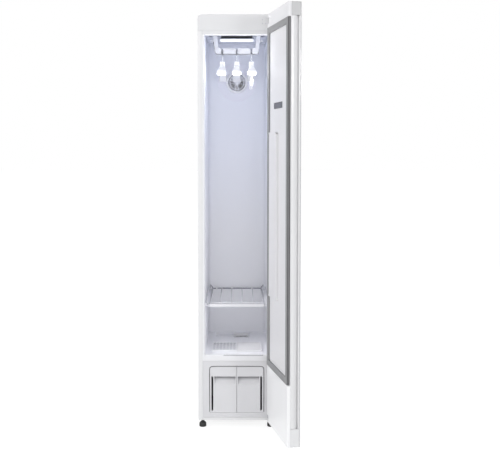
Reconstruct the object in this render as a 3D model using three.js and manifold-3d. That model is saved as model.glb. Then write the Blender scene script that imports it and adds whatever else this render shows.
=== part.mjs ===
// Clothes care steam cabinet: a slim upright cabinet with a steam and drying cavity, a full-height door with
// a trouser press on its inside, a swaying hanger rack, a wire shelf, two pull-out water tanks and a heat
// pump in its base. Millimetres, +Z up, the front faces -Y. The door stands open, as it does at rest.
import * as THREE from "three";
import { mergeVertices } from "three/addons/utils/BufferGeometryUtils.js";
import Module from "manifold-3d";

// Body
const bodyWidth = 346;
const bodyHeight = 1850;
const bodyDepth = 525;
const footHeight = 33;
const sideThickness = 19.5;
const topThickness = 18;
const backThickness = 8;
const baseThickness = 12;
const sheet = 1.5;
const fit = 0.3;
const play = 2;
const proud = 1;
const overrun = 5;
const weld = 1e-3;

// Header over the door opening
const headerHeight = 73;
const headerDepth = 40;
const headerRadius = 20;
const lipHeight = 15;
const lipSetback = 1;

// Cavity
const stileWidth = 10;
const cavityCorner = 24;
const wall = 8;
const airSpace = 39;
const mechanismSpace = 50;
const machineHeight = 259;
const floorThickness = 26;

// Tank bay and tanks
const baySide = 31.6;
const bayRise = 22;
const bayDrop = 26;
const bayBackGap = 17;
const bayRadius = 14;
const bayWall = 3;
const fasciaDepth = 20;
const tankGap = 0.7;
const tankFrontDepth = 30;
const tankBand = 45;
const tankWall = 2.5;
const tankInset = 16;
const tankFloorGap = 3;
const tankBackGap = 20;
const fillRadius = 16;
const slotWidth = 8;
const slotInset = 6.6;
const slotRise = 9;
const gripInset = 19.6;
const gripSide = 5;
const gripDrop = 36;
const gripDepth = 27;
const gripUndercut = 13;
const gripLip = 10;

// Door
const doorThickness = 55;
const doorGap = 4;
const doorTopGap = 5;
const doorFootGap = 4;
const glassThickness = 4;
const innerLayer = 13;
const linerSkin = 2;
const panelRise = 6;
const doorRim = 20;
const hingeRim = 36;
const doorEdgeRadius = 5;
const lowerCoverTop = 294;
const upperBand = 59;
const gasketWidth = 26;
const gasketInset = 5.5;
const gasketGap = 2;
const gasketRadius = 12;
const pullWidth = 10;
const pullDepth = 12;
const pullSetback = 11;
const pullBottom = 79;
const pullTop = 60;
const displayWidth = 90;
const displayHeight = 210;
const displayDepth = 6;
const displayDrop = 555;

// Door hinges
const pivotSide = 14;
const pivotSetback = 22;
const pinRadius = 4;
const pinLength = 34;
const leafThickness = 5;
const leafWidth = 12;
const leafEndRadius = 9;
const bottomLeafLevel = 19;
const topLeafLevel = 30;
const flangeDepth = 3;
const flangeHeight = 24;
const flangeReach = 20;
const topFlangeReach = 50;
const hingePocketDepth = 40;
const hingePocketWidth = 29;
const doorOpenAngle = 102;

// Trouser press on the door
const pressWidth = 122;
const pressFootGap = 319;
const pressTopGap = 457;
const pressSide = 50;
const pressDepth = 11;
const pressWall = 2;
const pressEarHeight = 8;
const pressEarWidth = 10;
const pressPinRadius = 2;
const pressStrip = 1.5;
const pressCorner = 14;

// Hanger rack
const rackDepth = 50;
const rackTaper = 14;
const rackArm = 20;
const rackFlare = 6;
const rackBarHeight = 25;
const rackBarDrop = 85;
const rackSkin = 4;
const rackEar = 8;
const rackEarThickness = 5;
const rackEarDrop = 28;
const rackBridge = 14;
const rackTravel = 15;
const hookSlot = 9;
const rodRadius = 4;
const rodRise = 15;
const railRadius = 4;
const railSpan = 30;
const housingSide = 14.2;
const housingWall = 3;
const housingMargin = 12;
const housingRear = 78;
const housingPlate = 5;
const housingSlotHalf = 82;
const housingSlotLength = 56;
const motorRadius = 15;
const motorLength = 46;

// Hangers
const hookWire = 2;
const hangerFrontGap = 12;
const hangerBackGap = 78;
const hangerSideGap = 18.5;
const hookTurnAngle = 36;
const neckDrop = 50;
const neckWidth = 24;
const neckLength = 34;
const neckHeight = 24;
const shoulderRise = 6;
const shoulderGap = 26.5;
const shoulderHeight = 24;
const shoulderDrop = 40;
const shoulderSteps = 4;
const shoulderSectionShares = [[-1, 1], [1, 1], [1, 0.3], [0.6, 0], [-0.6, 0], [-1, 0.3]];
const clipRailRadius = 2.5;
const clipRailDrop = 12;
const clipInset = 32.5;
const clipHeight = 30;
const clipLip = 3;
const clipLength = 22;
const clipWidth = 13;
const clipMouth = 5;

// Shelf
const shelfLevel = 556;
const shelfSideGap = 19.2;
const shelfFront = 20;
const shelfBackGap = 20;
const shelfWire = 3;
const crossWire = 2;
const crossSpacing = 50.8;
const shelfBarDepth = 6;
const shelfBarHeight = 14;
const secondBarSetback = 20;
const secondBarRise = 4;
const ledgeThickness = 5;
const ledgeLip = 9;
const ledgeLipWidth = 6;
const ledgeOverlap = 4;

// Cavity floor pieces
const pocketSideGap = 27.2;
const pocketFront = 60;
const pocketLength = 150;
const pocketDepth = 18;
const ductHoleMargin = 14;
const trayRise = 9;
const trayWall = 3;
const ribCount = 7;
const ribWidth = 5;
const recessLeftGap = 40.2;
const recessRightGap = 76.2;
const recessBackGap = 11;
const recessLength = 108;
const recessDepth = 14;
const outletSideGap = 12.6;
const outletWidth = 70;
const outletLength = 52;
const outletHeight = 17;
const outletSlots = 5;
const outletSlotWidth = 5;

// Vent and circulation fan
const ventDrop = 194;
const ventRadius = 53.5;
const ventBore = 44;
const ventThickness = 6;
const ventBand = 11;
const ventInnerRadius = 37;
const ventInnerBand = 4;
const ventHub = 11;
const ventSpokeWidth = 4.5;
const ventSpokeAngle = 24;
const shroudSize = 104;
const shroudDepth = 26;
const shroudBore = 42;
const fanRadius = 38;
const fanHub = 16;
const fanBlades = 7;
const bladeThickness = 2.5;
const bladeDepth = 14;
const bladeTwistAngle = 35;
const shaftRadius = 3;
const strutWidth = 6;
const strutThickness = 4;
const ductHalf = 60;
const ductDepth = 28;

// Machinery in the base
const compressorRadius = 48;
const compressorHeight = 185;
const compressorSide = 5.2;
const compressorBackGap = 29;
const compressorPlate = 4;
const compressorShoulder = 24;
const compressorCrown = 12;
const heatDuctSide = 5.2;
const heatDuctLeftGap = 113.2;
const heatDuctLength = 94;
const heatDuctBackGap = 3;
const heatDuctWall = 3;
const coilHeight = 72;
const coilGap = 8;
const coilFins = 8;
const finGap = 5;
const finDepth = 12;
const blowerRadius = 30;
const blowerLength = 110;
const blowerBlades = 12;
const blowerRise = 50;
const blowerMotorRadius = 22;
const blowerMotorLength = 42;
const boilerGap = 36;
const boilerSide = 27.2;
const boilerFrontGap = 13;
const boilerLength = 70;
const boilerHeight = 75;
const pipeRadius = 6;
const pipeInset = 19.4;
const pipePlaceShare = 2 / 3;
const pumpWidth = 48;
const pumpLength = 50;
const pumpHeight = 40;
const pumpRadius = 16;

// Electronics, lamp, feet and inlet
const boxSide = 32.2;
const boxFrontGap = 25;
const boxBackGap = 27;
const boxHeight = 26;
const boxFlange = 6;
const lampSide = 63.2;
const lampGap = 7;
const lampLength = 93;
const lampThickness = 5;
const footRadius = 16;
const footNeck = 7;
const footRim = 19;
const footInset = 19;
const footSetback = 18;
const glandRadius = 10;
const glandBore = 4;
const glandLength = 10;
const glandSide = 30;
const glandRise = 47;

// Planes that the sizes above set
const halfBody = bodyWidth / 2;
const innerHalf = halfBody - sideThickness - fit;
const cavityHalf = innerHalf - stileWidth;
const baseFloor = footHeight + sheet;
const baseTop = footHeight + baseThickness;
const fasciaTop = baseTop + machineHeight;
const cavityFloor = fasciaTop + floorThickness;
const headerBottom = bodyHeight - headerHeight;
const lipBottom = headerBottom - lipHeight;
const topUnderside = bodyHeight - topThickness;
const cavityCeiling = topUnderside - mechanismSpace;
const backInner = bodyDepth - backThickness;
const linerBack = backInner - airSpace;
const cavityBack = linerBack - wall;
const linerTop = cavityCeiling + wall;
const linerBottom = fasciaTop + fit;
const bayHalf = halfBody - sideThickness - baySide - fit;
const bayBottom = baseTop + bayRise;
const bayTop = fasciaTop - bayDrop;
const ventLevel = cavityCeiling - ventDrop;
const shelfHalf = cavityHalf - shelfSideGap;
const shelfBack = cavityBack - shelfBackGap;
const pocketSide = cavityHalf - pocketSideGap;
const recessLeft = recessLeftGap - cavityHalf;
const recessRight = cavityHalf - recessRightGap;
const recessFront = cavityBack - recessBackGap - recessLength;
const steamX = recessRight - outletSideGap - outletWidth / 2;
const steamY = recessFront + recessLength / 2;
const shoulderReach = (cavityBack - hangerFrontGap - hangerBackGap) / 2;
const rackMiddle = hangerFrontGap + shoulderReach;
const rackFront = rackMiddle - rackDepth / 2;
const rackBack = rackFront + rackDepth;
const rackTopHalf = innerHalf - housingSide - housingMargin - rackTravel;
const rackFootHalf = rackTopHalf - rackTaper;
const windowTopHalf = rackTopHalf - rackArm;
const windowFootHalf = windowTopHalf - rackFlare;
const hangerSpacing = windowFootHalf - hangerSideGap;
const shoulderWidth = hangerSpacing - shoulderGap;
const housingBack = rackBack + housingRear;
const lampHalf = cavityHalf - lampSide;
const lampFront = housingBack + lampGap;
const boxHalf = innerHalf - boxFlange - boxSide;
const boxSpan = [housingBack + boxFrontGap, backInner - boxBackGap];
const heatDuctBack = backInner - heatDuctBackGap;
const heatDuctFront = heatDuctBack - heatDuctLength;
const heatDuctLeft = heatDuctLeftGap - innerHalf;
const heatDuctRight = innerHalf - heatDuctSide;
const compressorRim = compressorRadius + 2 * compressorPlate;
const compressorX = compressorSide + compressorRim - innerHalf;
const compressorY = heatDuctFront - compressorBackGap - compressorRim;
const bayDepth = compressorY - compressorRim - bayBackGap;
const boilerLeft = compressorX + compressorRim + boilerGap;
const boilerRight = innerHalf - boilerSide;
const boilerFront = bayDepth + boilerFrontGap;
const pipeX = boilerLeft + pipeInset;
const pipeY = boilerFront + boilerLength * pipePlaceShare;
const rackFoot = cavityCeiling - rackBarDrop;
const rodLevel = rackFoot + rodRise;
const hookLoop = rodRadius + hookWire + fit;
const doorInner = -doorGap;
const shellInner = doorInner - innerLayer;
const doorFront = doorInner - doorThickness;
const doorTop = bodyHeight - doorTopGap;
const doorFoot = footHeight + doorFootGap;
const panelFace = shellInner + linerSkin + panelRise;
const pivotX = halfBody - pivotSide;
const pivotY = doorInner - pivotSetback;
const upperCoverBottom = doorTop - upperBand;
const displayLevel = doorTop - displayDrop;
const pressBottom = lowerCoverTop + pressFootGap;
const pressTop = upperCoverBottom - pressTopGap;
const neckTop = rodLevel - neckDrop;
const shoulderTop = neckTop - neckHeight + shoulderRise;
const clipRailLevel = shoulderTop - shoulderDrop - shoulderHeight - clipRailDrop;
const railLevel = linerTop + play + rackBridge / 2;

const wasm = await Module();
wasm.setup();

// A closed geometry as a solid that can be joined and cut
function solid(geometry) {
  const bare = geometry.index ? geometry.toNonIndexed() : geometry.clone();
  bare.deleteAttribute("normal");
  bare.deleteAttribute("uv");
  const merged = mergeVertices(bare, weld);
  return new wasm.Manifold(
    new wasm.Mesh({
      numProp: 3,
      vertProperties: merged.attributes.position.array,
      triVerts: new Uint32Array(merged.index.array),
    }),
  );
}

function sorted(values) {
  return [...values].sort((a, b) => a - b);
}

function joined(...solids) {
  return solids.reduce((whole, next) => whole.add(next));
}

function cut(whole, ...tools) {
  return tools.reduce((left, tool) => left.subtract(tool), whole);
}

// A block between two values on each axis
function block([x0, x1], [y0, y1], [z0, z1]) {
  const box = new THREE.BoxGeometry(x1 - x0, y1 - y0, z1 - z0);
  return solid(box.translate((x0 + x1) / 2, (y0 + y1) / 2, (z0 + z1) / 2));
}

// Corners [u, v] or [u, v, radius] as an outline with its corners rounded
function outline(corners, arcSteps = 4) {
  const points = [];
  corners.forEach(([u, v, radius], i) => {
    const corner = new THREE.Vector2(u, v);
    if (!radius) {
      points.push(corner);
      return;
    }
    const before = new THREE.Vector2(...corners.at(i - 1));
    const after = new THREE.Vector2(...corners[(i + 1) % corners.length]);
    const back = before.sub(corner).normalize();
    const ahead = after.sub(corner).normalize();
    const halfAngle = Math.acos(back.dot(ahead)) / 2;
    const middle = back.clone().add(ahead).normalize();
    const centre = corner.clone().addScaledVector(middle, radius / Math.sin(halfAngle));
    const start = corner.clone().addScaledVector(back, radius / Math.tan(halfAngle));
    const turn = Math.sign(back.cross(ahead)) * -1;
    for (let step = 0; step <= arcSteps; step++) {
      const angle = (turn * (Math.PI - 2 * halfAngle) * step) / arcSteps;
      points.push(start.clone().rotateAround(centre, angle));
    }
  });
  return new THREE.Shape(points);
}

function rectangle([u0, u1], [v0, v1], radius = 0) {
  return outline([[u0, v0, radius], [u1, v0, radius], [u1, v1, radius], [u0, v1, radius]]);
}

// An outline drawn in the other two axes, in X, Y, Z order, and drawn out along the named axis
function prism(shape, axis, [from, to]) {
  const geometry = new THREE.ExtrudeGeometry(shape, { depth: to - from, bevelEnabled: false });
  if (axis === "x") {
    geometry.rotateY(Math.PI / 2).rotateX(Math.PI / 2).translate(from, 0, 0);
  } else if (axis === "y") {
    geometry.rotateX(Math.PI / 2).translate(0, to, 0);
  } else {
    geometry.translate(0, 0, from);
  }
  return solid(geometry);
}

// A round bar between two points
function rod(from, to, radius, sides = 12) {
  const start = new THREE.Vector3(...from);
  const along = new THREE.Vector3(...to).sub(start);
  const geometry = new THREE.CylinderGeometry(radius, radius, along.length(), sides);
  const turn = new THREE.Quaternion().setFromUnitVectors(
    new THREE.Vector3(0, 1, 0),
    along.clone().normalize(),
  );
  geometry.applyQuaternion(turn);
  const centre = start.addScaledVector(along, 1 / 2);
  return solid(geometry.translate(centre.x, centre.y, centre.z));
}

// A round wire along smooth points
function wire(points, radius, steps, sides = 8) {
  const circle = new THREE.Shape();
  circle.absarc(0, 0, radius, 0, 2 * Math.PI);
  const path = new THREE.CatmullRomCurve3(points.map((point) => new THREE.Vector3(...point)));
  const geometry = new THREE.ExtrudeGeometry(circle, {
    steps,
    curveSegments: sides / 2,
    extrudePath: path,
  });
  return solid(geometry);
}

// A profile of [radius, height] turned about an upright axis at x, y
function turned(profile, x, y, sides = 20) {
  const points = profile.map(([radius, height]) => new THREE.Vector2(radius, height));
  const geometry = new THREE.LatheGeometry(points, sides);
  return solid(geometry.rotateX(Math.PI / 2).translate(x, y, 0));
}

function finish(color, roughness, metalness = 0) {
  return new THREE.MeshStandardMaterial({ color, roughness, metalness });
}

const finishes = {
  whiteSheet: finish(0xe6e7e8, 0.4),
  whiteTrim: finish(0xe0e0e3, 0.35),
  liner: finish(0xc3c5d6, 0.45),
  glossWhite: finish(0xf1f1f3, 0.12),
  rack: finish(0xf4f4f8, 0.35),
  panelGrey: finish(0xdadade, 0.45),
  gasket: finish(0x5c5c60, 0.8),
  darkPlastic: finish(0x3b3a40, 0.6),
  rubber: finish(0x17171a, 0.8),
  chrome: finish(0xd9dadd, 0.15, 1),
  zinc: finish(0xb4b6ba, 0.4, 1),
  aluminium: finish(0xc6c8cb, 0.45, 1),
  blackSteel: finish(0x202124, 0.5),
  ventGrey: finish(0xa9a9b6, 0.5),
  tank: finish(0xd5dbe2, 0.25),
  lamp: finish(0xfafaff, 0.3),
  board: finish(0x2f5d43, 0.6),
};

function addPart(group, name, shape, material) {
  const { numProp, vertProperties, triVerts } = shape.getMesh();
  const geometry = new THREE.BufferGeometry();
  geometry.setAttribute("position", new THREE.BufferAttribute(vertProperties, numProp));
  geometry.setIndex(new THREE.BufferAttribute(triVerts, 1));
  geometry.computeVertexNormals();
  const mesh = new THREE.Mesh(geometry, material);
  mesh.name = name;
  group.add(mesh);
}

// Runs past both faces of whatever it cuts
function through([from, to]) {
  return [from - overrun, to + overrun];
}

function addCasing(group) {
  const sideOutline = outline([
    [0, footHeight],
    [bodyDepth, footHeight],
    [bodyDepth, bodyHeight],
    [headerDepth + fit, bodyHeight],
    [headerDepth + fit, headerBottom - fit],
    [0, headerBottom - fit],
  ]);
  for (const [name, side] of [["left", -1], ["right", 1]]) {
    const across = (inner, outer) => sorted([side * inner, side * outer]);
    const panel = cut(
      prism(sideOutline, "x", across(halfBody - sideThickness, halfBody)),
      block(
        across(halfBody - sideThickness - overrun, halfBody - sheet),
        [sheet, bodyDepth - sheet],
        [footHeight + sheet, headerBottom - fit - sheet],
      ),
    );
    addPart(group, `side_panel_${name}`, panel, finishes.whiteSheet);
  }

  const across = [-innerHalf, innerHalf];
  const topSpan = [headerDepth + fit, backInner - fit];
  const top = cut(
    block(across, topSpan, [topUnderside, bodyHeight]),
    block(
      [sheet - innerHalf, innerHalf - sheet],
      [topSpan[0] + sheet, topSpan[1] - sheet],
      [topUnderside - overrun, bodyHeight - sheet],
    ),
  );
  addPart(group, "top_panel", top, finishes.whiteSheet);

  const back = cut(
    block(across, [backInner, bodyDepth], [baseTop + fit, bodyHeight]),
    block(
      [sheet - innerHalf, innerHalf - sheet],
      [backInner - overrun, bodyDepth - sheet],
      [baseTop + glandRise, bodyHeight - sheet],
    ),
    rod(
      [glandSide - innerHalf, backInner - overrun, baseTop + glandRise / 2],
      [glandSide - innerHalf, bodyDepth + overrun, baseTop + glandRise / 2],
      glandRadius + fit,
    ),
  );
  addPart(group, "back_panel", back, finishes.whiteSheet);

  const pan = cut(
    block(across, [0, bodyDepth], [footHeight, baseTop]),
    block(
      [sheet - innerHalf, innerHalf - sheet],
      [sheet, bodyDepth - sheet],
      [baseFloor, baseTop + overrun],
    ),
  );
  addPart(group, "base_pan", pan, finishes.whiteSheet);

  const band = outline([
    [-halfBody, headerBottom],
    [halfBody, headerBottom],
    [halfBody, bodyHeight, headerRadius],
    [-halfBody, bodyHeight, headerRadius],
  ]);
  const header = joined(
    prism(band, "y", [0, headerDepth]),
    block(across, [lipSetback, headerDepth], [lipBottom, headerBottom + overrun]),
  );
  addPart(group, "header_trim", header, finishes.whiteTrim);
}

function addFeet(group) {
  const profile = [
    [0, 0],
    [footRadius, 0],
    [footRadius, footRim],
    [(footRadius + footNeck) / 2, (footRim + footHeight) / 2],
    [footNeck, footHeight - fit],
    [0, footHeight - fit],
  ];
  for (const [row, y] of [["front", footSetback], ["rear", bodyDepth - footSetback]]) {
    for (const [name, side] of [["left", -1], ["right", 1]]) {
      const foot = turned(profile, side * (halfBody - footInset), y, 16);
      addPart(group, `foot_${row}_${name}`, foot, finishes.rubber);
    }
  }
}

function addLiner(group) {
  const hollow = outline([
    [-cavityHalf, -overrun],
    [cavityHalf, -overrun],
    [cavityHalf, cavityBack, cavityCorner],
    [-cavityHalf, cavityBack, cavityCorner],
  ]);
  const pocketEnd = pocketFront + pocketLength;
  const floorCut = [cavityFloor - pocketDepth, cavityFloor + overrun];
  const liner = cut(
    block([-innerHalf, innerHalf], [0, linerBack], [linerBottom, linerTop]),
    prism(hollow, "z", [cavityFloor, cavityCeiling]),
    block(
      through([-innerHalf, innerHalf]),
      [-overrun, headerDepth + fit],
      [lipBottom - fit, linerTop + overrun],
    ),
    rod([0, cavityBack - overrun, ventLevel], [0, linerBack + overrun, ventLevel], ventBore, 24),
    block(...housingOpening(fit), through([cavityCeiling, linerTop])),
    block([-lampHalf - fit, lampHalf + fit], lampSpan(fit), through([cavityCeiling, linerTop])),
    block([-pocketSide, pocketSide], [pocketFront, pocketEnd], floorCut),
    block(
      [ductHoleMargin - pocketSide, pocketSide - ductHoleMargin],
      [pocketFront + ductHoleMargin, pocketEnd - ductHoleMargin],
      through([linerBottom, cavityFloor]),
    ),
    block(
      [recessLeft, recessRight],
      [recessFront, recessFront + recessLength],
      [cavityFloor - recessDepth, floorCut[1]],
    ),
    rod(
      [steamX, steamY, linerBottom - overrun],
      [steamX, steamY, cavityFloor],
      pipeRadius + 2 * fit,
    ),
  );
  addPart(group, "cabinet_liner", liner, finishes.liner);
}

function housingOpening(clearance) {
  const half = rackTopHalf + rackTravel + housingMargin + clearance;
  return [
    [-half, half],
    [rackFront - housingMargin - clearance, housingBack + clearance],
  ];
}

function lampSpan(clearance) {
  return [lampFront - clearance, lampFront + lampLength + clearance];
}

// The hanger rack: two arms, a bar with three slots, and a bridge that runs on two rails above the ceiling
function addRack(group) {
  const bridge = [railLevel - rackBridge / 2, railLevel + rackBridge / 2];
  const body = outline([
    [-rackTopHalf, cavityCeiling],
    [-rackFootHalf, rackFoot, rackEar],
    [rackFootHalf, rackFoot, rackEar],
    [rackTopHalf, cavityCeiling],
    [rackTopHalf, bridge[1]],
    [-rackTopHalf, bridge[1]],
  ]);
  const windowFoot = rackFoot + rackBarHeight;
  const window = outline([
    [-windowTopHalf, bridge[0]],
    [-windowFootHalf, windowFoot, rackEar],
    [windowFootHalf, windowFoot, rackEar],
    [windowTopHalf, bridge[0]],
  ]);
  const ear = [cavityCeiling - rackEarDrop, cavityCeiling - rackEarDrop + rackEarThickness];
  const ySpan = [rackFront, rackBack];
  const hookSlots = [-1, 0, 1].map((place) =>
    block(
      [place * hangerSpacing - hookSlot / 2, place * hangerSpacing + hookSlot / 2],
      [ySpan[0] - overrun, rackMiddle + hookLoop + 2 * hookWire],
      through([rackFoot, windowFoot]),
    ),
  );
  const railBores = railPlaces().map((y) =>
    rod(
      [-rackTopHalf - overrun, y, railLevel],
      [rackTopHalf + overrun, y, railLevel],
      railRadius + fit,
    ),
  );
  const frame = cut(
    joined(
      prism(body, "y", ySpan),
      block([-rackTopHalf - rackEar, rackTopHalf + rackEar], ySpan, ear),
    ),
    prism(window, "y", through(ySpan)),
    block(
      [-windowFootHalf, windowFootHalf],
      [ySpan[0] + rackSkin, ySpan[1] - rackSkin],
      [rackFoot + rackSkin, windowFoot + overrun],
    ),
    ...hookSlots,
    ...railBores,
  );
  const hookRod = rod(
    [-windowFootHalf - overrun, rackMiddle, rodLevel],
    [windowFootHalf + overrun, rackMiddle, rodLevel],
    rodRadius,
  );
  addPart(group, "hanger_rack", joined(frame, hookRod), finishes.rack);
}

function railPlaces() {
  return [rackMiddle - railSpan / 2, rackMiddle + railSpan / 2];
}

// The housing over the ceiling carries the rack's rails, and its plate is slotted for the rack's arms
function addRackHousing(group) {
  const [xSpan, ySpan] = housingOpening(0);
  const zSpan = [cavityCeiling - proud, topUnderside - fit];
  const plateTop = cavityCeiling + housingPlate;
  const armCentre = rackTopHalf - rackArm / 2;
  const slotHalf = rackArm / 2 + rackTravel + play;
  const driveSlot = [rackBack + housingMargin, rackBack + housingMargin + housingSlotLength];
  const armSlots = [-armCentre, armCentre].map((x) =>
    block(
      [x - slotHalf, x + slotHalf],
      [rackFront - play, rackBack + play],
      through([zSpan[0], plateTop]),
    ),
  );
  const tray = cut(
    block(xSpan, ySpan, zSpan),
    block(
      [xSpan[0] + housingWall, xSpan[1] - housingWall],
      [ySpan[0] + housingWall, ySpan[1] - housingWall],
      [plateTop, zSpan[1] + overrun],
    ),
    block([-housingSlotHalf, housingSlotHalf], driveSlot, through([zSpan[0], plateTop])),
    ...armSlots,
  );
  const rails = railPlaces().map((y) =>
    rod(
      [xSpan[0] + housingWall / 2, y, railLevel],
      [xSpan[1] - housingWall / 2, y, railLevel],
      railRadius,
    ),
  );
  addPart(group, "rack_housing", joined(tray, ...rails), finishes.darkPlastic);

  const motorEnd = xSpan[1] - housingWall - fit;
  const motorPlace = [(driveSlot[0] + driveSlot[1]) / 2, plateTop + fit + motorRadius];
  const motor = rod([motorEnd - motorLength, ...motorPlace], [motorEnd, ...motorPlace], motorRadius);
  addPart(group, "rack_motor", motor, finishes.zinc);
}

// A hanger hangs by its hook on the rack's rod, with its shoulders along Y
function addHanger(group, index, place) {
  const x = place * hangerSpacing;
  const hookPoints = [
    [x, rackMiddle, neckTop - neckHeight / 2],
    [x, rackMiddle, neckTop],
    [x, rackMiddle, rodLevel - 3 * hookLoop],
    [x, rackMiddle + hookLoop / 3, rodLevel - (3 / 2) * hookLoop],
  ];
  for (let turn = 0; turn <= 6; turn++) {
    const angle = THREE.MathUtils.degToRad(hookTurnAngle * (turn - 1 / 2));
    hookPoints.push([
      x,
      rackMiddle + hookLoop * Math.cos(angle),
      rodLevel + hookLoop * Math.sin(angle),
    ]);
  }
  addPart(group, `hanger_hook_${index}`, wire(hookPoints, hookWire, 26), finishes.chrome);

  const rings = [];
  for (let step = -shoulderSteps; step <= shoulderSteps; step++) {
    const share = Math.abs(step) / shoulderSteps;
    rings.push({
      y: rackMiddle + (step / shoulderSteps) * shoulderReach,
      top: shoulderTop - shoulderDrop * share,
      halfWidth: (neckWidth + (shoulderWidth - neckWidth) * share) / 2,
    });
  }
  const neck = block(
    [x - neckWidth / 2, x + neckWidth / 2],
    [rackMiddle - neckLength / 2, rackMiddle + neckLength / 2],
    [neckTop - neckHeight, neckTop],
  );
  const socket = rod(
    [x, rackMiddle, neckTop - neckHeight / 2 - fit],
    [x, rackMiddle, neckTop + overrun],
    hookWire + fit,
  );
  const rail = place > 0 ? clipRail(x, rings) : [];
  const body = cut(joined(shoulders(x, rings), neck, ...rail), socket);
  addPart(group, `hanger_${index}`, body, finishes.rack);
}

// Chamfered sections from one shoulder tip to the other, joined into one closed body
function shoulders(x, rings) {
  const points = rings.map(({ y, top, halfWidth }) =>
    shoulderSectionShares.map(([u, v]) => [x + u * halfWidth, y, top - v * shoulderHeight]),
  );
  const count = shoulderSectionShares.length;
  const triangles = [];
  for (let ring = 0; ring < points.length - 1; ring++) {
    for (let i = 0; i < count; i++) {
      const j = (i + 1) % count;
      const [a, b] = [points[ring][i], points[ring][j]];
      const [c, d] = [points[ring + 1][i], points[ring + 1][j]];
      triangles.push(a, d, b, a, c, d);
    }
  }
  const [first, last] = [points[0], points.at(-1)];
  for (let i = 1; i < count - 1; i++) {
    triangles.push(first[0], first[i], first[i + 1], last[0], last[i + 1], last[i]);
  }
  const geometry = new THREE.BufferGeometry();
  geometry.setAttribute("position", new THREE.Float32BufferAttribute(triangles.flat(), 3));
  return solid(geometry);
}

// A rail for the trouser clips under the shoulders, held by an upright near each tip
function clipRail(x, rings) {
  const { y, top } = rings.at(-2);
  const reach = y - rackMiddle;
  const uprights = [-reach, reach].map((offset) =>
    rod(
      [x, rackMiddle + offset, clipRailLevel - clipRailRadius],
      [x, rackMiddle + offset, top - shoulderHeight / 2],
      clipRailRadius,
      8,
    ),
  );
  const rail = rod(
    [x, rackMiddle - reach, clipRailLevel],
    [x, rackMiddle + reach, clipRailLevel],
    clipRailRadius,
    8,
  );
  return [rail, ...uprights];
}

function addClip(group, name, side) {
  const x = hangerSpacing;
  const uprightReach = (shoulderReach * (shoulderSteps - 1)) / shoulderSteps;
  const y = rackMiddle + side * (uprightReach - clipInset);
  const top = clipRailLevel + clipRailRadius + clipLip;
  const bore = clipRailRadius + fit;
  const clip = cut(
    block(
      [x - clipWidth / 2, x + clipWidth / 2],
      [y - clipLength / 2, y + clipLength / 2],
      [top - clipHeight, top],
    ),
    rod([x, y - clipLength, clipRailLevel], [x, y + clipLength, clipRailLevel], bore, 8),
    block(
      [x - clipMouth / 2, x + clipMouth / 2],
      through([y - clipLength / 2, y + clipLength / 2]),
      [top - clipHeight - overrun, clipRailLevel - 2 * bore],
    ),
  );
  addPart(group, name, clip, finishes.rack);
}

function addLamp(group) {
  const lens = block(
    [-lampHalf, lampHalf],
    lampSpan(0),
    [cavityCeiling - proud, cavityCeiling + lampThickness],
  );
  addPart(group, "lamp_lens", lens, finishes.lamp);
}

function addVent(group) {
  const face = [cavityBack - ventThickness, cavityBack - fit];
  const ring = (outer, inner, sides) => {
    const shape = new THREE.Shape();
    shape.absarc(0, ventLevel, outer, 0, 2 * Math.PI);
    const hole = new THREE.Path();
    hole.absarc(0, ventLevel, inner, 0, 2 * Math.PI);
    shape.holes.push(hole);
    const geometry = new THREE.ExtrudeGeometry(shape, {
      depth: face[1] - face[0],
      bevelEnabled: false,
      curveSegments: sides / 2,
    });
    return solid(geometry.rotateX(Math.PI / 2).translate(0, face[1], 0));
  };
  const spokes = [];
  for (let arm = 0; arm < 3; arm++) {
    for (const side of [-1, 1]) {
      const turn = 180 - (arm * 360) / 3 - (side * ventSpokeAngle) / 2;
      const spoke = block(
        [-ventSpokeWidth / 2, ventSpokeWidth / 2],
        face,
        [0, ventRadius - ventBand / 2],
      );
      spokes.push(spoke.rotate([0, turn, 0]).translate([0, 0, ventLevel]));
    }
  }
  const grille = joined(
    ring(ventRadius, ventRadius - ventBand, 24),
    ring(ventInnerRadius, ventInnerRadius - ventInnerBand, 24),
    rod([0, face[0], ventLevel], [0, face[1], ventLevel], ventHub, 12),
    ...spokes,
  );
  addPart(group, "vent_grille", grille, finishes.ventGrey);
}

// The fan frame carries its motor on a strut behind the blades
function addFanFrame(group) {
  const half = shroudSize / 2;
  const ySpan = [linerBack + fit, linerBack + fit + shroudDepth];
  const motorY = [ySpan[1], backInner - fit];
  const frame = cut(
    block([-half, half], ySpan, [ventLevel - half, ventLevel + half]),
    rod([0, ySpan[0] - overrun, ventLevel], [0, ySpan[1] + overrun, ventLevel], shroudBore, 24),
  );
  const strutY = [ySpan[1] - strutThickness, ySpan[1]];
  const strut = block([-half, half], strutY, [ventLevel - strutWidth / 2, ventLevel + strutWidth / 2]);
  const motor = rod([0, strutY[0], ventLevel], [0, motorY[1], ventLevel], fanHub, 16);
  const shaft = rod([0, fanBack() - bladeDepth / 2, ventLevel], [0, strutY[1], ventLevel], shaftRadius);
  addPart(group, "fan_frame", joined(frame, strut, motor, shaft), finishes.darkPlastic);
}

function fanBack() {
  return linerBack + fit + shroudDepth - strutThickness - play;
}

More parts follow.
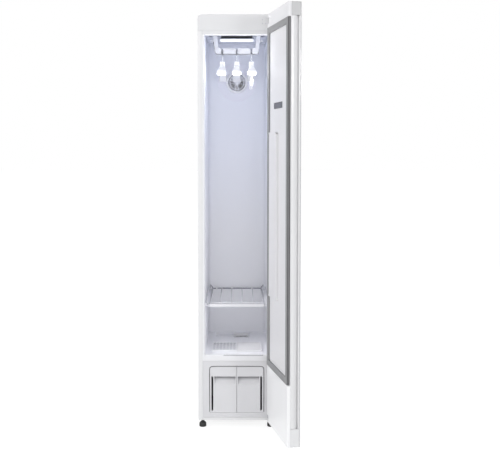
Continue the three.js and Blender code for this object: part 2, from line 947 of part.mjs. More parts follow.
function addFan(group) {
  const ySpan = [fanBack() - bladeDepth, fanBack()];
  const blades = [];
  for (let i = 0; i < fanBlades; i++) {
    const blade = block(
      [-bladeThickness / 2, bladeThickness / 2],
      [-bladeDepth / 2, bladeDepth / 2],
      [fanHub / 2, fanRadius],
    );
    blades.push(
      blade
        .rotate([0, 0, bladeTwistAngle])
        .rotate([0, (i * 360) / fanBlades, 0])
        .translate([0, (ySpan[0] + ySpan[1]) / 2, ventLevel]),
    );
  }
  const fan = cut(
    joined(rod([0, ySpan[0], ventLevel], [0, ySpan[1], ventLevel], fanHub, 14), ...blades),
    rod(
      [0, ySpan[0] + bladeDepth / 2 - play, ventLevel],
      [0, ySpan[1] + overrun, ventLevel],
      shaftRadius + fit,
    ),
  );
  addPart(group, "circulation_fan", fan, finishes.darkPlastic);
}

function addReturnDuct(group) {
  const zSpan = [linerBottom, ventLevel - shroudSize / 2 - fit];
  const ySpan = [linerBack + fit, linerBack + fit + ductDepth];
  const duct = cut(
    block([-ductHalf, ductHalf], ySpan, zSpan),
    block(
      [heatDuctWall - ductHalf, ductHalf - heatDuctWall],
      [ySpan[0] + heatDuctWall, ySpan[1] - heatDuctWall],
      through(zSpan),
    ),
  );
  addPart(group, "return_duct", duct, finishes.whiteTrim);
}

function addShelfLedges(group) {
  const top = shelfLevel - shelfWire - fit;
  for (const [name, side] of [["left", -1], ["right", 1]]) {
    const corners = [
      [cavityHalf - fit, top - ledgeThickness],
      [cavityHalf - fit, top + ledgeLip],
      [cavityHalf - fit - ledgeLipWidth, top + ledgeLip],
      [cavityHalf - fit - ledgeLipWidth, top],
      [shelfHalf - ledgeOverlap, top],
      [shelfHalf - ledgeOverlap, top - ledgeThickness],
    ].map(([x, z]) => [x * side, z]);
    const ledge = prism(
      outline(side > 0 ? corners : corners.reverse()),
      "y",
      [shelfFront + shelfBarDepth, cavityBack - cavityCorner],
    );
    addPart(group, `shelf_ledge_${name}`, ledge, finishes.liner);
  }
}

function addShelf(group) {
  const bar = (y, z, radius) => rod([-shelfHalf, y, z], [shelfHalf, y, z], radius, 8);
  const secondBar = shelfFront + secondBarSetback;
  const frontBar = prism(
    rectangle(
      [shelfFront - shelfBarDepth / 2, shelfFront + shelfBarDepth / 2],
      [shelfLevel - shelfBarHeight + shelfWire, shelfLevel + shelfWire],
      shelfBarDepth / 3,
    ),
    "x",
    [-shelfHalf, shelfHalf],
  );
  const pieces = [
    bar(secondBar, shelfLevel + secondBarRise, shelfWire),
    bar(shelfBack, shelfLevel, shelfWire),
    ...[-1, 1].map((side) =>
      rod(
        [side * (shelfHalf - shelfWire), shelfFront, shelfLevel],
        [side * (shelfHalf - shelfWire), shelfBack, shelfLevel],
        shelfWire,
        8,
      ),
    ),
  ];
  for (let i = 0; i < 4; i++) {
    const x = (i - 3 / 2) * crossSpacing;
    pieces.push(
      rod([x, secondBar, shelfLevel + crossWire], [x, shelfBack, shelfLevel + crossWire], crossWire, 8),
    );
  }
  addPart(group, "wire_shelf", joined(frontBar, ...pieces), finishes.chrome);
}

// A lift-out tray in the floor pocket with slots across its top
function floorTray(xSpan) {
  const zSpan = [cavityFloor - pocketDepth + fit, cavityFloor + trayRise];
  const ySpan = [pocketFront + fit, pocketFront + pocketLength - fit];
  const tray = cut(
    block(xSpan, ySpan, zSpan),
    block(
      [xSpan[0] + trayWall, xSpan[1] - trayWall],
      [ySpan[0] + trayWall, ySpan[1] - trayWall],
      [zSpan[0] - overrun, zSpan[1] - trayWall],
    ),
  );
  const pitch = (xSpan[1] - xSpan[0] - 2 * trayWall) / ribCount;
  const slots = [];
  for (let i = 0; i < ribCount; i++) {
    const x = xSpan[0] + trayWall + pitch * (i + 1 / 2);
    const half = (pitch - ribWidth) / 2;
    slots.push(
      block(
        [x - half, x + half],
        [ySpan[0] + 2 * trayWall, ySpan[1] - 2 * trayWall],
        [zSpan[1] - 2 * trayWall, zSpan[1] + overrun],
      ),
    );
  }
  return cut(tray, ...slots);
}

function addFloorPieces(group) {
  const half = pocketSide - fit;
  addPart(group, "lint_filter", floorTray([-half, -fit]), finishes.panelGrey);
  const zSpan = [cavityFloor - pocketDepth + fit, cavityFloor + trayRise];
  const ySpan = [pocketFront + fit, pocketFront + pocketLength - fit];
  const pitch = pocketLength / (ribCount + 1);
  const grooves = [];
  for (let i = 1; i <= ribCount; i++) {
    const y = ySpan[0] + pitch * i;
    grooves.push(
      block(
        [fit + 2 * trayWall, half - 2 * trayWall],
        [y - ribWidth / 2, y + ribWidth / 2],
        [zSpan[1] - trayWall, zSpan[1] + overrun],
      ),
    );
  }
  const aroma = cut(
    block([fit, half], ySpan, zSpan),
    block(
      [fit + trayWall, half - trayWall],
      [ySpan[0] + trayWall, ySpan[1] - trayWall],
      [zSpan[0] - overrun, zSpan[1] - 2 * trayWall],
    ),
    ...grooves,
  );
  addPart(group, "aroma_case", aroma, finishes.whiteTrim);

  const floor = cavityFloor - recessDepth + fit;
  const outletX = [steamX - outletWidth / 2, steamX + outletWidth / 2];
  const outletY = [steamY - outletLength / 2, steamY + outletLength / 2];
  const outletSlotPitch = outletWidth / (outletSlots + 1);
  const outlet = cut(
    block(outletX, outletY, [floor, floor + outletHeight]),
    rod(
      [steamX, steamY, floor - overrun],
      [steamX, steamY, floor + outletHeight / 2],
      pipeRadius + fit,
    ),
    ...Array.from({ length: outletSlots }, (_, i) =>
      block(
        [
          outletX[0] + outletSlotPitch * (i + 1) - outletSlotWidth / 2,
          outletX[0] + outletSlotPitch * (i + 1) + outletSlotWidth / 2,
        ],
        [outletY[0] - overrun, outletY[1] - outletSlotWidth],
        [floor + outletHeight / 3, floor + outletHeight - trayWall],
      ),
    ),
  );
  addPart(group, "steam_outlet", outlet, finishes.whiteTrim);
}

function addFascia(group) {
  const face = rectangle([-innerHalf, innerHalf], [baseTop + fit, fasciaTop - fit]);
  const opening = outline([
    [-bayHalf, bayBottom],
    [bayHalf, bayBottom],
    [bayHalf, bayTop, bayRadius],
    [-bayHalf, bayTop, bayRadius],
  ]);
  const fascia = cut(
    prism(face, "y", [0, fasciaDepth]),
    prism(opening, "y", through([0, fasciaDepth])),
  );
  addPart(group, "lower_fascia", fascia, finishes.whiteTrim);

  const baySpan = [fasciaDepth + fit, bayDepth];
  const bay = cut(
    block(
      [-bayHalf - bayWall, bayHalf + bayWall],
      baySpan,
      [bayBottom - bayWall, bayTop + bayWall],
    ),
    prism(opening, "y", [baySpan[0] - overrun, bayDepth - bayWall]),
  );
  addPart(group, "tank_bay", bay, finishes.whiteTrim);
}

// Each tank has a front that fills its half of the bay and a reservoir with a filling hole behind it
function addTank(group, name, side) {
  const outer = side * (bayHalf - tankGap);
  const inner = side * tankGap;
  const foot = bayBottom + tankGap;
  const top = bayTop - tankGap;
  const across = (from, to) => sorted([outer - side * from, inner + side * to]);
  const corners = [
    [outer, foot],
    [inner, foot],
    [inner, top],
    [outer, top, bayRadius - tankGap],
  ];
  const front = prism(outline(side < 0 ? corners : corners.reverse()), "y", [0, tankFrontDepth]);
  const bandFoot = top - tankBand;
  const slot = sorted([outer - side * slotInset, outer - side * (slotInset + slotWidth)]);
  const grip = outline([
    [-overrun, bandFoot],
    [gripLip, bandFoot],
    [gripLip, bandFoot + gripUndercut],
    [gripDepth, bandFoot + gripUndercut],
    [gripDepth, bandFoot],
    [0, bandFoot - gripDrop],
    [-overrun, bandFoot - gripDrop],
  ].reverse());
  const tankFront = cut(
    front,
    block(slot, through([0, tankFrontDepth]), [foot + slotRise, bandFoot]),
    prism(grip, "x", across(gripInset, gripSide)),
  );
  addPart(group, `${name}_tank_front`, tankFront, finishes.whiteTrim);

  const xSpan = across(tankInset, gripSide);
  const ySpan = [tankFrontDepth + fit, bayDepth - bayWall - tankBackGap];
  const zSpan = [foot + tankFloorGap, bandFoot];
  const fillX = (xSpan[0] + xSpan[1]) / 2;
  const fillY = (ySpan[0] + ySpan[1]) / 2;
  const reservoir = cut(
    block(xSpan, ySpan, zSpan),
    block(
      [xSpan[0] + tankWall, xSpan[1] - tankWall],
      [ySpan[0] + tankWall, ySpan[1] - tankWall],
      [zSpan[0] + tankWall, zSpan[1] - tankWall],
    ),
    rod([fillX, fillY, zSpan[1] - 2 * tankWall], [fillX, fillY, zSpan[1] + overrun], fillRadius, 16),
  );
  addPart(group, `${name}_tank_reservoir`, reservoir, finishes.tank);
}

function addMachinery(group) {
  const base = baseFloor + fit;
  const compressorTop = base + compressorHeight;
  const profile = [
    [0, base],
    [compressorRim, base],
    [compressorRim, base + compressorPlate],
    [compressorRadius, base + compressorPlate],
    [compressorRadius, compressorTop - compressorShoulder],
    [compressorRadius - compressorCrown, compressorTop - compressorCrown / 2],
    [compressorCrown, compressorTop],
    [0, compressorTop],
  ];
  addPart(group, "compressor", turned(profile, compressorX, compressorY), finishes.blackSteel);

  const xSpan = [heatDuctLeft, heatDuctRight];
  const ySpan = [heatDuctFront, heatDuctBack];
  const insideX = [xSpan[0] + heatDuctWall, xSpan[1] - heatDuctWall];
  const insideY = [ySpan[0] + heatDuctWall, ySpan[1] - heatDuctWall];
  const ductTop = linerBottom - fit;
  const blowerLevel = base + blowerRise;
  const blowerY = (ySpan[0] + ySpan[1]) / 2;
  const duct = cut(
    block(xSpan, ySpan, [base, ductTop]),
    block(insideX, insideY, [base + heatDuctWall, ductTop + overrun]),
    rod(
      [xSpan[0] - overrun, blowerY, blowerLevel],
      [insideX[0] + overrun, blowerY, blowerLevel],
      shaftRadius + 2 * fit,
    ),
  );
  addPart(group, "heat_duct", duct, finishes.whiteTrim);

  const coilX = [insideX[0] + fit, insideX[1] - fit];
  const coilY = [insideY[0] + fit, insideY[1] - fit];
  const upperTop = ductTop - coilGap;
  ["condenser", "evaporator"].forEach((name, i) => {
    const top = upperTop - i * (coilHeight + coilGap);
    const pitch = (coilX[1] - coilX[0]) / (coilFins + 1);
    const gaps = Array.from({ length: coilFins }, (_, fin) =>
      block(
        [coilX[0] + pitch * (fin + 1) - finGap / 2, coilX[0] + pitch * (fin + 1) + finGap / 2],
        [coilY[0] - overrun, coilY[1] - finDepth],
        [top - coilHeight - overrun, top - finDepth],
      ),
    );
    const coil = cut(block(coilX, coilY, [top - coilHeight, top]), ...gaps);
    addPart(group, name, coil, finishes.aluminium);
  });

  const motor = joined(
    rod(
      [xSpan[0] - fit - blowerMotorLength, blowerY, blowerLevel],
      [xSpan[0] - fit, blowerY, blowerLevel],
      blowerMotorRadius,
      16,
    ),
    rod(
      [xSpan[0] - 2 * fit, blowerY, blowerLevel],
      [insideX[0] + blowerLength / 4, blowerY, blowerLevel],
      shaftRadius,
    ),
  );
  addPart(group, "blower_motor", motor, finishes.zinc);

  const boilerX = [boilerLeft, boilerRight];
  const boilerY = [boilerFront, boilerFront + boilerLength];
  const boilerTop = base + boilerHeight;
  const boiler = joined(
    prism(rectangle(boilerX, boilerY, pipeRadius), "z", [base, boilerTop]),
    rod([pipeX, pipeY, base], [pipeX, pipeY, boilerTop + pipeRadius], 2 * pipeRadius),
  );
  addPart(group, "steam_generator", boiler, finishes.zinc);
  const pipeFoot = boilerTop + pipeRadius + fit;
  const pipeTop = cavityFloor - recessDepth + pipeRadius;
  const pipe = wire(
    [
      [pipeX, pipeY, pipeFoot],
      [pipeX, pipeY, pipeFoot + 3 * pipeRadius],
      [(pipeX + steamX) / 2, (pipeY + steamY) / 2, (pipeFoot + pipeTop) / 2],
      [steamX, steamY, pipeTop - 8 * pipeRadius],
      [steamX, steamY, pipeTop - 6 * pipeRadius],
      [steamX, steamY, pipeTop],
    ],
    pipeRadius,
    14,
  );
  addPart(group, "steam_pipe", pipe, finishes.rubber);

  const pumpX = [fit - innerHalf + sheet, fit - innerHalf + sheet + pumpWidth];
  const pumpY = [heatDuctFront, heatDuctFront + pumpLength];
  const pumpTop = base + pumpHeight;
  const pump = joined(
    block(pumpX, pumpY, [base, pumpTop]),
    rod(
      [(pumpX[0] + pumpX[1]) / 2, (pumpY[0] + pumpY[1]) / 2, pumpTop - overrun],
      [(pumpX[0] + pumpX[1]) / 2, (pumpY[0] + pumpY[1]) / 2, pumpTop + pumpHeight],
      pumpRadius,
    ),
  );
  addPart(group, "water_pump", pump, finishes.darkPlastic);
}

function addBlower(group) {
  const level = baseFloor + fit + blowerRise;
  const y = (heatDuctFront + heatDuctBack) / 2;
  const start = heatDuctLeft + heatDuctWall + play;
  const xSpan = [start, start + blowerLength];
  const slots = [];
  for (let i = 0; i < blowerBlades; i++) {
    const slot = block(
      [xSpan[0] + bladeDepth, xSpan[1] + overrun],
      [-bladeThickness, bladeThickness],
      [blowerRadius / 2, blowerRadius + overrun],
    );
    slots.push(slot.rotate([(i * 360) / blowerBlades, 0, 0]).translate([0, y, level]));
  }
  const wheel = cut(
    rod([xSpan[0], y, level], [xSpan[1], y, level], blowerRadius, 2 * blowerBlades),
    ...slots,
    rod([xSpan[0] - overrun, y, level], [xSpan[0] + blowerLength / 2, y, level], shaftRadius + fit),
  );
  addPart(group, "blower_wheel", wheel, finishes.darkPlastic);
}

function addElectronics(group) {
  const floor = linerTop + fit;
  const box = joined(
    block([-boxHalf, boxHalf], boxSpan, [floor, floor + boxHeight]),
    block([-boxHalf - boxFlange, boxHalf + boxFlange], boxSpan, [floor, floor + sheet]),
  );
  addPart(group, "control_box", box, finishes.board);

  const glandX = glandSide - innerHalf;
  const glandZ = baseTop + glandRise / 2;
  const gland = cut(
    rod([glandX, bodyDepth - glandLength, glandZ], [glandX, bodyDepth - fit, glandZ], glandRadius),
    rod(
      [glandX, bodyDepth - glandLength - overrun, glandZ],
      [glandX, bodyDepth + overrun, glandZ],
      glandBore,
    ),
  );
  addPart(group, "inlet_gland", gland, finishes.rubber);
}

// A hinge is seen from the base that it is measured from, upwards or downwards
function hinge(base, up, leafLevel) {
  const leaf = base + up * leafLevel;
  const flangeFoot = leaf + (up * (leafThickness - flangeHeight)) / 2;
  const flange = sorted([flangeFoot, flangeFoot + up * flangeHeight]);
  const pocket = [flange[0] - play, flange[1] + play];
  return {
    leaf: sorted([leaf, leaf + up * leafThickness]),
    start: leaf,
    flange,
    pocket,
    bossEnd: (up > 0 ? pocket[1] : pocket[0]) - up * fit,
    pinEnd: leaf + up * pinLength,
    up,
  };
}

const hinges = {
  bottom: hinge(footHeight, 1, bottomLeafLevel),
  top: hinge(bodyHeight, -1, topLeafLevel),
};

// Hinge brackets hold the door on an upright pin at its foot and one at its top
function addHingeBrackets(group) {
  for (const [name, reach] of [["bottom", flangeReach], ["top", topFlangeReach]]) {
    const { leaf, start, flange, bossEnd, pinEnd } = hinges[name];
    const bracket = joined(
      block([pivotX - reach, pivotX + leafWidth / 2], [-fit - flangeDepth, -fit], flange),
      block(
        [pivotX - leafWidth / 2, pivotX + leafWidth / 2],
        [pivotY, -fit - flangeDepth / 2],
        leaf,
      ),
      rod([pivotX, pivotY, start], [pivotX, pivotY, bossEnd], leafEndRadius, 16),
      rod([pivotX, pivotY, start], [pivotX, pivotY, pinEnd], pinRadius),
    );
    addPart(group, `hinge_bracket_${name}`, bracket, finishes.whiteTrim);
  }
}

// The door is drawn shut, then turned open about its hinge pins
function addDoor(group) {
  const across = [-halfBody, halfBody];
  const upright = [doorFoot, doorTop];
  const hingeCuts = Object.values(hinges).flatMap(({ pocket, start, pinEnd, up }) => [
    block(
      [halfBody - hingePocketWidth, halfBody + overrun],
      [doorInner - hingePocketDepth, overrun],
      pocket,
    ),
    rod([pivotX, pivotY, start], [pivotX, pivotY, pinEnd + up * play], pinRadius + fit),
  ]);
  const pull = block(
    [-halfBody - overrun, pullDepth - halfBody],
    [doorFront + pullSetback, doorFront + pullSetback + pullWidth],
    [footHeight + pullBottom, bodyHeight - pullTop],
  );
  const displayX = [-displayWidth / 2, displayWidth / 2];
  const displayZ = [displayLevel - displayHeight / 2, displayLevel + displayHeight / 2];
  const shellFront = doorFront + glassThickness + fit;
  const shell = cut(
    block(across, [shellFront, shellInner - fit], upright),
    block(
      [doorRim - halfBody, halfBody - hingeRim],
      [shellFront + displayDepth + sheet, shellInner + overrun],
      [doorFoot + hingeRim, doorTop - hingeRim],
    ),
    block(displayX, [shellFront - overrun, shellFront + displayDepth], displayZ),
    pull,
    ...hingeCuts,
  );
  addPart(group, "door_shell", shell, finishes.whiteSheet);
  const glass = block(across, [doorFront, doorFront + glassThickness], upright);
  addPart(group, "door_glass", glass, finishes.glossWhite);

  const display = block(
    [displayX[0] + fit, displayX[1] - fit],
    [shellFront, shellFront + displayDepth - fit],
    [displayZ[0] + fit, displayZ[1] - fit],
  );
  addPart(group, "display_module", display, finishes.board);

  const edge = outline([
    [-halfBody, shellInner],
    [halfBody, shellInner],
    [halfBody, doorInner, doorEdgeRadius],
    [-halfBody, doorInner, doorEdgeRadius],
  ]);
  const lowerCover = cut(prism(edge, "z", [doorFoot, lowerCoverTop]), ...hingeCuts);
  addPart(group, "door_lower_cover", lowerCover, finishes.glossWhite);

  const gasketX = [gasketInset - halfBody, halfBody - gasketInset];
  const gasketZ = [lowerCoverTop + fit, upperCoverBottom - fit];
  const panelX = [gasketX[0] + gasketWidth + fit, gasketX[1] - gasketWidth - fit];
  const panelZ = [gasketZ[0] + gasketWidth + fit, gasketZ[1] - gasketWidth - fit];
  const ringOutline = rectangle(gasketX, gasketZ, gasketRadius);
  const holeOutline = rectangle(
    [gasketX[0] + gasketWidth, gasketX[1] - gasketWidth],
    [gasketZ[0] + gasketWidth, gasketZ[1] - gasketWidth],
    gasketRadius,
  );
  const gasketSpan = [shellInner + linerSkin + fit, -gasketGap];
  const gasket = cut(
    prism(ringOutline, "y", gasketSpan),
    prism(holeOutline, "y", through(gasketSpan)),
  );
  addPart(group, "door_gasket", gasket, finishes.gasket);

  const panel = rectangle(panelX, panelZ, gasketRadius);
  const liner = cut(
    joined(
      block(across, [shellInner, shellInner + linerSkin], [lowerCoverTop + fit, doorTop]),
      prism(panel, "y", [shellInner, panelFace]),
      prism(edge, "z", [upperCoverBottom, doorTop]),
    ),
    ...hingeCuts,
  );
  addPart(group, "door_liner", liner, finishes.panelGrey);
}

// The press cover turns on two short pins that stand out of the ears of its hinge strip
function pressAxis() {
  return [halfBody - pressSide - pressEarWidth / 2, panelFace + pressDepth / 2];
}

function addPressHinge(group) {
  const [x, y] = pressAxis();
  const across = [x - pressEarWidth / 2, x + pressEarWidth / 2];
  const foot = panelFace + fit;
  const ears = [[pressBottom, 1], [pressTop, -1]].flatMap(([level, inward]) => [
    block(
      across,
      [foot, panelFace + pressDepth],
      sorted([level, level + inward * pressEarHeight]),
    ),
    rod([x, y, level], [x, y, level + 2 * inward * pressEarHeight], pressPinRadius),
  ]);
  const strip = block(across, [foot, foot + pressStrip], [pressBottom, pressTop]);
  addPart(group, "press_hinge", joined(strip, ...ears), finishes.panelGrey);
}

function addPressCover(group) {
  const [x, y] = pressAxis();
  const knuckle = [pressBottom + pressEarHeight + fit, pressTop - pressEarHeight - fit];
  const ySpan = [panelFace + fit, panelFace + pressDepth];
  const left = halfBody - pressSide - pressWidth;
  const face = outline([
    [left, pressBottom],
    [x - pressEarWidth, pressBottom],
    [x - pressEarWidth, pressTop],
    [left, pressTop, pressCorner],
  ]);
  const cover = cut(
    joined(
      prism(face, "y", ySpan),
      rod([x, y, knuckle[0]], [x, y, knuckle[1]], pressDepth / 2 - pressStrip - 2 * fit, 12),
      block([x - pressEarWidth - overrun, x], [y, ySpan[1] - fit], knuckle),
    ),
    block(
      [left + pressWall, x - pressEarWidth - pressWall],
      [ySpan[0] - overrun, ySpan[1] - pressWall],
      [pressBottom + pressWall, pressTop - pressWall],
    ),
    ...[[knuckle[0], 1], [knuckle[1], -1]].map(([level, inward]) =>
      rod(
        [x, y, level - inward * overrun],
        [x, y, level + inward * (pressEarHeight + play)],
        pressPinRadius + fit,
      ),
    ),
  );
  addPart(group, "press_cover", cover, finishes.panelGrey);
}

const cabinet = new THREE.Group();
addCasing(cabinet);
addFeet(cabinet);
addLiner(cabinet);
addRackHousing(cabinet);
addRack(cabinet);
[-1, 0, 1].forEach((place, i) => addHanger(cabinet, i + 1, place));
addClip(cabinet, "trouser_clip_front", -1);
addClip(cabinet, "trouser_clip_rear", 1);
addLamp(cabinet);
addVent(cabinet);
addFanFrame(cabinet);
addFan(cabinet);
addReturnDuct(cabinet);
addShelfLedges(cabinet);
addShelf(cabinet);
addFloorPieces(cabinet);
addFascia(cabinet);
addTank(cabinet, "supply", -1);
addTank(cabinet, "drain", 1);
addMachinery(cabinet);
addBlower(cabinet);
addElectronics(cabinet);
addHingeBrackets(cabinet);

const door = new THREE.Group();
addDoor(door);
addPressHinge(door);
addPressCover(door);
for (const mesh of door.children) {
  mesh.position.set(-pivotX, -pivotY, 0);
}
door.position.set(pivotX, pivotY, 0);
door.rotation.z = THREE.MathUtils.degToRad(doorOpenAngle);
cabinet.add(door);

// The part's origin is on the floor under the middle of its outline, with the door open
const bounds = new THREE.Box3().setFromObject(cabinet, true);
const middle = bounds.getCenter(new THREE.Vector3());
cabinet.position.set(-middle.x, -middle.y, -bounds.min.z);

const part = new THREE.Group();
part.add(cabinet);
export default part;
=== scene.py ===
import bpy
import math
from mathutils import Matrix, Vector


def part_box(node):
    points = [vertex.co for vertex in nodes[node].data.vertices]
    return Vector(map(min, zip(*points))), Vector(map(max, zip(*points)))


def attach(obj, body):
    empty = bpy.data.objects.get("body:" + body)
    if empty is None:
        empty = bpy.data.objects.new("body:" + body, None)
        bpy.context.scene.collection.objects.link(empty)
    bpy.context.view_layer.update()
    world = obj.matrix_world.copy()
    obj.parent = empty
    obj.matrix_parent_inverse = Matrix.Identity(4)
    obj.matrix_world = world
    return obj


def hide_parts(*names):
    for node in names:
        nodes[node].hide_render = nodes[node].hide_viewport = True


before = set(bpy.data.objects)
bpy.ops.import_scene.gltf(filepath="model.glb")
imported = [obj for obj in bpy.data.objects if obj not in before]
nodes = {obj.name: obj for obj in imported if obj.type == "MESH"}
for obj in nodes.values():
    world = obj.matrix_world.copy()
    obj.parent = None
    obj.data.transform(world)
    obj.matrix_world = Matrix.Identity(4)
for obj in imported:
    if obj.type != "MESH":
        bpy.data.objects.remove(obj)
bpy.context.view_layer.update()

# places are millimetres from the middle of the cabinet's front plane at the floor
bodyHalf = 0.173
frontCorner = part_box("side_panel_left")[0]
cabinetMiddle = Vector((frontCorner.x + bodyHalf, frontCorner.y, 0))


def place(x, y, z):
    return cabinetMiddle + Vector((x, y, z)) / 1000


def depthAt(y):
    return place(0, y, 0).y


# the door is drawn shut and turned open about its hinge pins
openAngle = 102
hingePin = place(159, -26, 0)
doorTurn = (Matrix.Translation(hingePin) @ Matrix.Rotation(math.radians(openAngle), 4, "Z")
            @ Matrix.Translation(-hingePin))


def deselectAll():
    bpy.ops.object.select_all(action="DESELECT")


def takeOnly(piece):
    deselectAll()
    piece.select_set(True)
    bpy.context.view_layer.objects.active = piece


def editAll(piece, part="FACE"):
    takeOnly(piece)
    bpy.ops.object.mode_set(mode="EDIT")
    bpy.ops.mesh.select_mode(type=part)
    bpy.ops.mesh.select_all(action="SELECT")


def endEdit():
    bpy.ops.object.mode_set(mode="OBJECT")


def pickFaces(piece, test):  # in edit mode: selects the faces whose middle and normal pass the test
    bpy.ops.mesh.select_mode(type="FACE")
    bpy.ops.mesh.select_all(action="DESELECT")
    endEdit()
    for face in piece.data.polygons:
        face.select = test(face.center, face.normal)
    bpy.ops.object.mode_set(mode="EDIT")


def pickEdges(piece, test):  # in edit mode: selects the edges whose two ends pass the test
    bpy.ops.mesh.select_mode(type="EDGE")
    bpy.ops.mesh.select_all(action="DESELECT")
    endEdit()
    corners = piece.data.vertices
    for edge in piece.data.edges:
        edge.select = test(*(corners[i].co for i in edge.vertices))
    bpy.ops.object.mode_set(mode="EDIT")


def applyModifiers(piece):
    takeOnly(piece)
    for modifier in list(piece.modifiers):
        bpy.ops.object.modifier_apply(modifier=modifier.name)


def smoothShade(piece, angle):
    takeOnly(piece)
    bpy.ops.object.shade_smooth_by_angle(angle=math.radians(angle))


def addBox(name, low, high):
    deselectAll()
    bpy.ops.mesh.primitive_cube_add(size=1, location=(low + high) / 2, scale=high - low)
    piece = bpy.context.object
    piece.name = name
    bpy.ops.object.transform_apply(location=True, rotation=True, scale=True)
    return piece


def roundEdges(piece, width, segments=3, angle=30, smooth=40):
    bevel = piece.modifiers.new("edges", "BEVEL")
    bevel.width = width / 1000
    bevel.segments = segments
    bevel.limit_method = "ANGLE"
    bevel.angle_limit = math.radians(angle)
    bevel.loop_slide = False
    smoothShade(piece, smooth)
    normals = piece.modifiers.new("normals", "WEIGHTED_NORMAL")
    normals.keep_sharp = True
    applyModifiers(piece)


def weld(distance=0.00001):  # in edit mode: merges the corners that lie together
    bpy.ops.mesh.select_all(action="SELECT")
    bpy.ops.mesh.remove_doubles(threshold=distance)


def closeShape():  # in edit mode: welds a drawn shape, turns its faces outward and leaves edit mode
    weld()
    bpy.ops.mesh.normals_make_consistent(inside=False)
    endEdit()


def copyNode(name, node):  # a merged copy of a CAD node's mesh with its flat faces cleaned up
    piece = bpy.data.objects.new(name, nodes[node].data.copy())
    bpy.context.scene.collection.objects.link(piece)
    editAll(piece)
    weld(0.00002)
    bpy.ops.mesh.dissolve_limited(angle_limit=math.radians(0.5))
    bpy.ops.mesh.quads_convert_to_tris(quad_method="BEAUTY", ngon_method="BEAUTY")
    bpy.ops.mesh.tris_convert_to_quads(face_threshold=math.radians(1), shape_threshold=math.radians(60))
    bpy.ops.mesh.customdata_custom_splitnormals_clear()
    endEdit()
    return piece


def joinPieces(name, pieces):
    deselectAll()
    for piece in pieces:
        piece.select_set(True)
    bpy.context.view_layer.objects.active = pieces[0]
    bpy.ops.object.join()
    pieces[0].name = name
    return pieces[0]


def copyTo(piece, name, shift):  # a twin moved by shift
    twin = piece.copy()
    twin.data = piece.data.copy()
    twin.name = name
    twin.data.transform(Matrix.Translation(shift))
    bpy.context.scene.collection.objects.link(twin)
    return twin


def tube(name, points, radius, steps, sides=3):  # a round wire along a smooth line of points
    deselectAll()
    bpy.ops.curve.primitive_bezier_curve_add(location=(0, 0, 0))
    piece = bpy.context.object
    piece.name = name
    curve = piece.data
    curve.splines.clear()
    line = curve.splines.new("BEZIER")
    line.bezier_points.add(len(points) - 1)
    for knot, point in zip(line.bezier_points, points):
        knot.co = place(*point)
        knot.handle_left_type = knot.handle_right_type = "AUTO"
    line.resolution_u = steps
    curve.dimensions = "3D"
    curve.bevel_depth = radius / 1000
    curve.bevel_resolution = sides
    curve.use_fill_caps = True
    takeOnly(piece)
    bpy.ops.object.convert(target="MESH")
    smoothShade(piece, 60)
    return piece


def bentPath(corners, radius):  # straight runs with a small bend at each inner corner
    points = [corners[0]]
    for before, corner, after in zip(corners, corners[1:], corners[2:]):
        corner, before, after = Vector(corner), Vector(before), Vector(after)
        start = corner + (before - corner).normalized() * radius
        end = corner + (after - corner).normalized() * radius
        for step in range(5):
            share = step / 4
            points.append(tuple(start.lerp(corner, share).lerp(corner.lerp(end, share), share)))
    return points + [corners[-1]]


def drawLine(name, points):  # a chain of vertices, each extruded from the one before
    deselectAll()
    bpy.ops.mesh.primitive_plane_add(size=0.001, location=(0, 0, 0))
    piece = bpy.context.object
    piece.name = name
    editAll(piece, "VERT")
    bpy.ops.mesh.merge(type="CENTER")
    bpy.ops.mesh.select_all(action="SELECT")
    bpy.ops.transform.translate(value=points[0])
    for before, after in zip(points, points[1:]):
        bpy.ops.mesh.extrude_vertices_move(TRANSFORM_OT_translate={"value": after - before})
    return piece


def lathe(name, profile, centre, steps, axis="Z"):  # turns a profile of (radius, height) about an axis
    piece = drawLine(name, [Vector((radius, 0, height)) / 1000 for radius, height in profile])
    bpy.ops.mesh.select_all(action="SELECT")
    bpy.ops.mesh.spin(steps=steps, angle=2 * math.pi, center=(0, 0, 0), axis=(0, 0, 1))
    closeShape()
    turn = Matrix.Rotation(math.radians(90), 4, "X") if axis == "Y" else Matrix()
    piece.data.transform(Matrix.Translation(place(*centre)) @ turn)
    return piece


def drawOut(name, outline, level, top):  # an upright bar with the outline of (x, y) corners
    corners = [place(x, y, level) for x, y in outline]
    piece = drawLine(name, corners + corners[:1])
    weld()
    bpy.ops.mesh.edge_face_add()
    bpy.ops.mesh.extrude_region_move(TRANSFORM_OT_translate={"value": (0, 0, (top - level) / 1000)})
    closeShape()
    return piece


def frameBar(name, left, right, foot, top, profile):  # a mitred ring; the profile holds (inward, y) corners
    corners = [place(left + inward, y, foot + inward) for inward, y in profile]
    piece = drawLine(name, corners + corners[:1])
    weld(0.000001)
    for move, flip, corner in (
        ((right - left, 0, 0), (-1, 1, 1), (right, 0, 0)), ((0, 0, top - foot), (1, 1, -1), (0, 0, top)),
        ((left - right, 0, 0), (-1, 1, 1), (left, 0, 0)), ((0, 0, foot - top), (1, 1, -1), (0, 0, foot)),
    ):
        bpy.ops.mesh.extrude_region_move(TRANSFORM_OT_translate={"value": Vector(move) / 1000})
        bpy.ops.transform.resize(value=flip, center_override=place(*corner))
    closeShape()
    return piece


def hangOnDoor(piece):
    piece.data.transform(doorTurn)
    return piece


def paintPiece(piece, finish):
    piece.data.materials.clear()
    piece.data.materials.append(finishes[finish])


def settle(piece, body, slot, finish, *replaced):
    paintPiece(piece, finish)
    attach(piece, body)
    if replaced:
        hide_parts(*replaced)


def roundedCopy(name, node, body, slot, finish, edge, segments=3):  # stands in for its node, edges rounded
    piece = copyNode(name, node)
    roundEdges(piece, edge, segments)
    settle(piece, body, slot, finish, node)


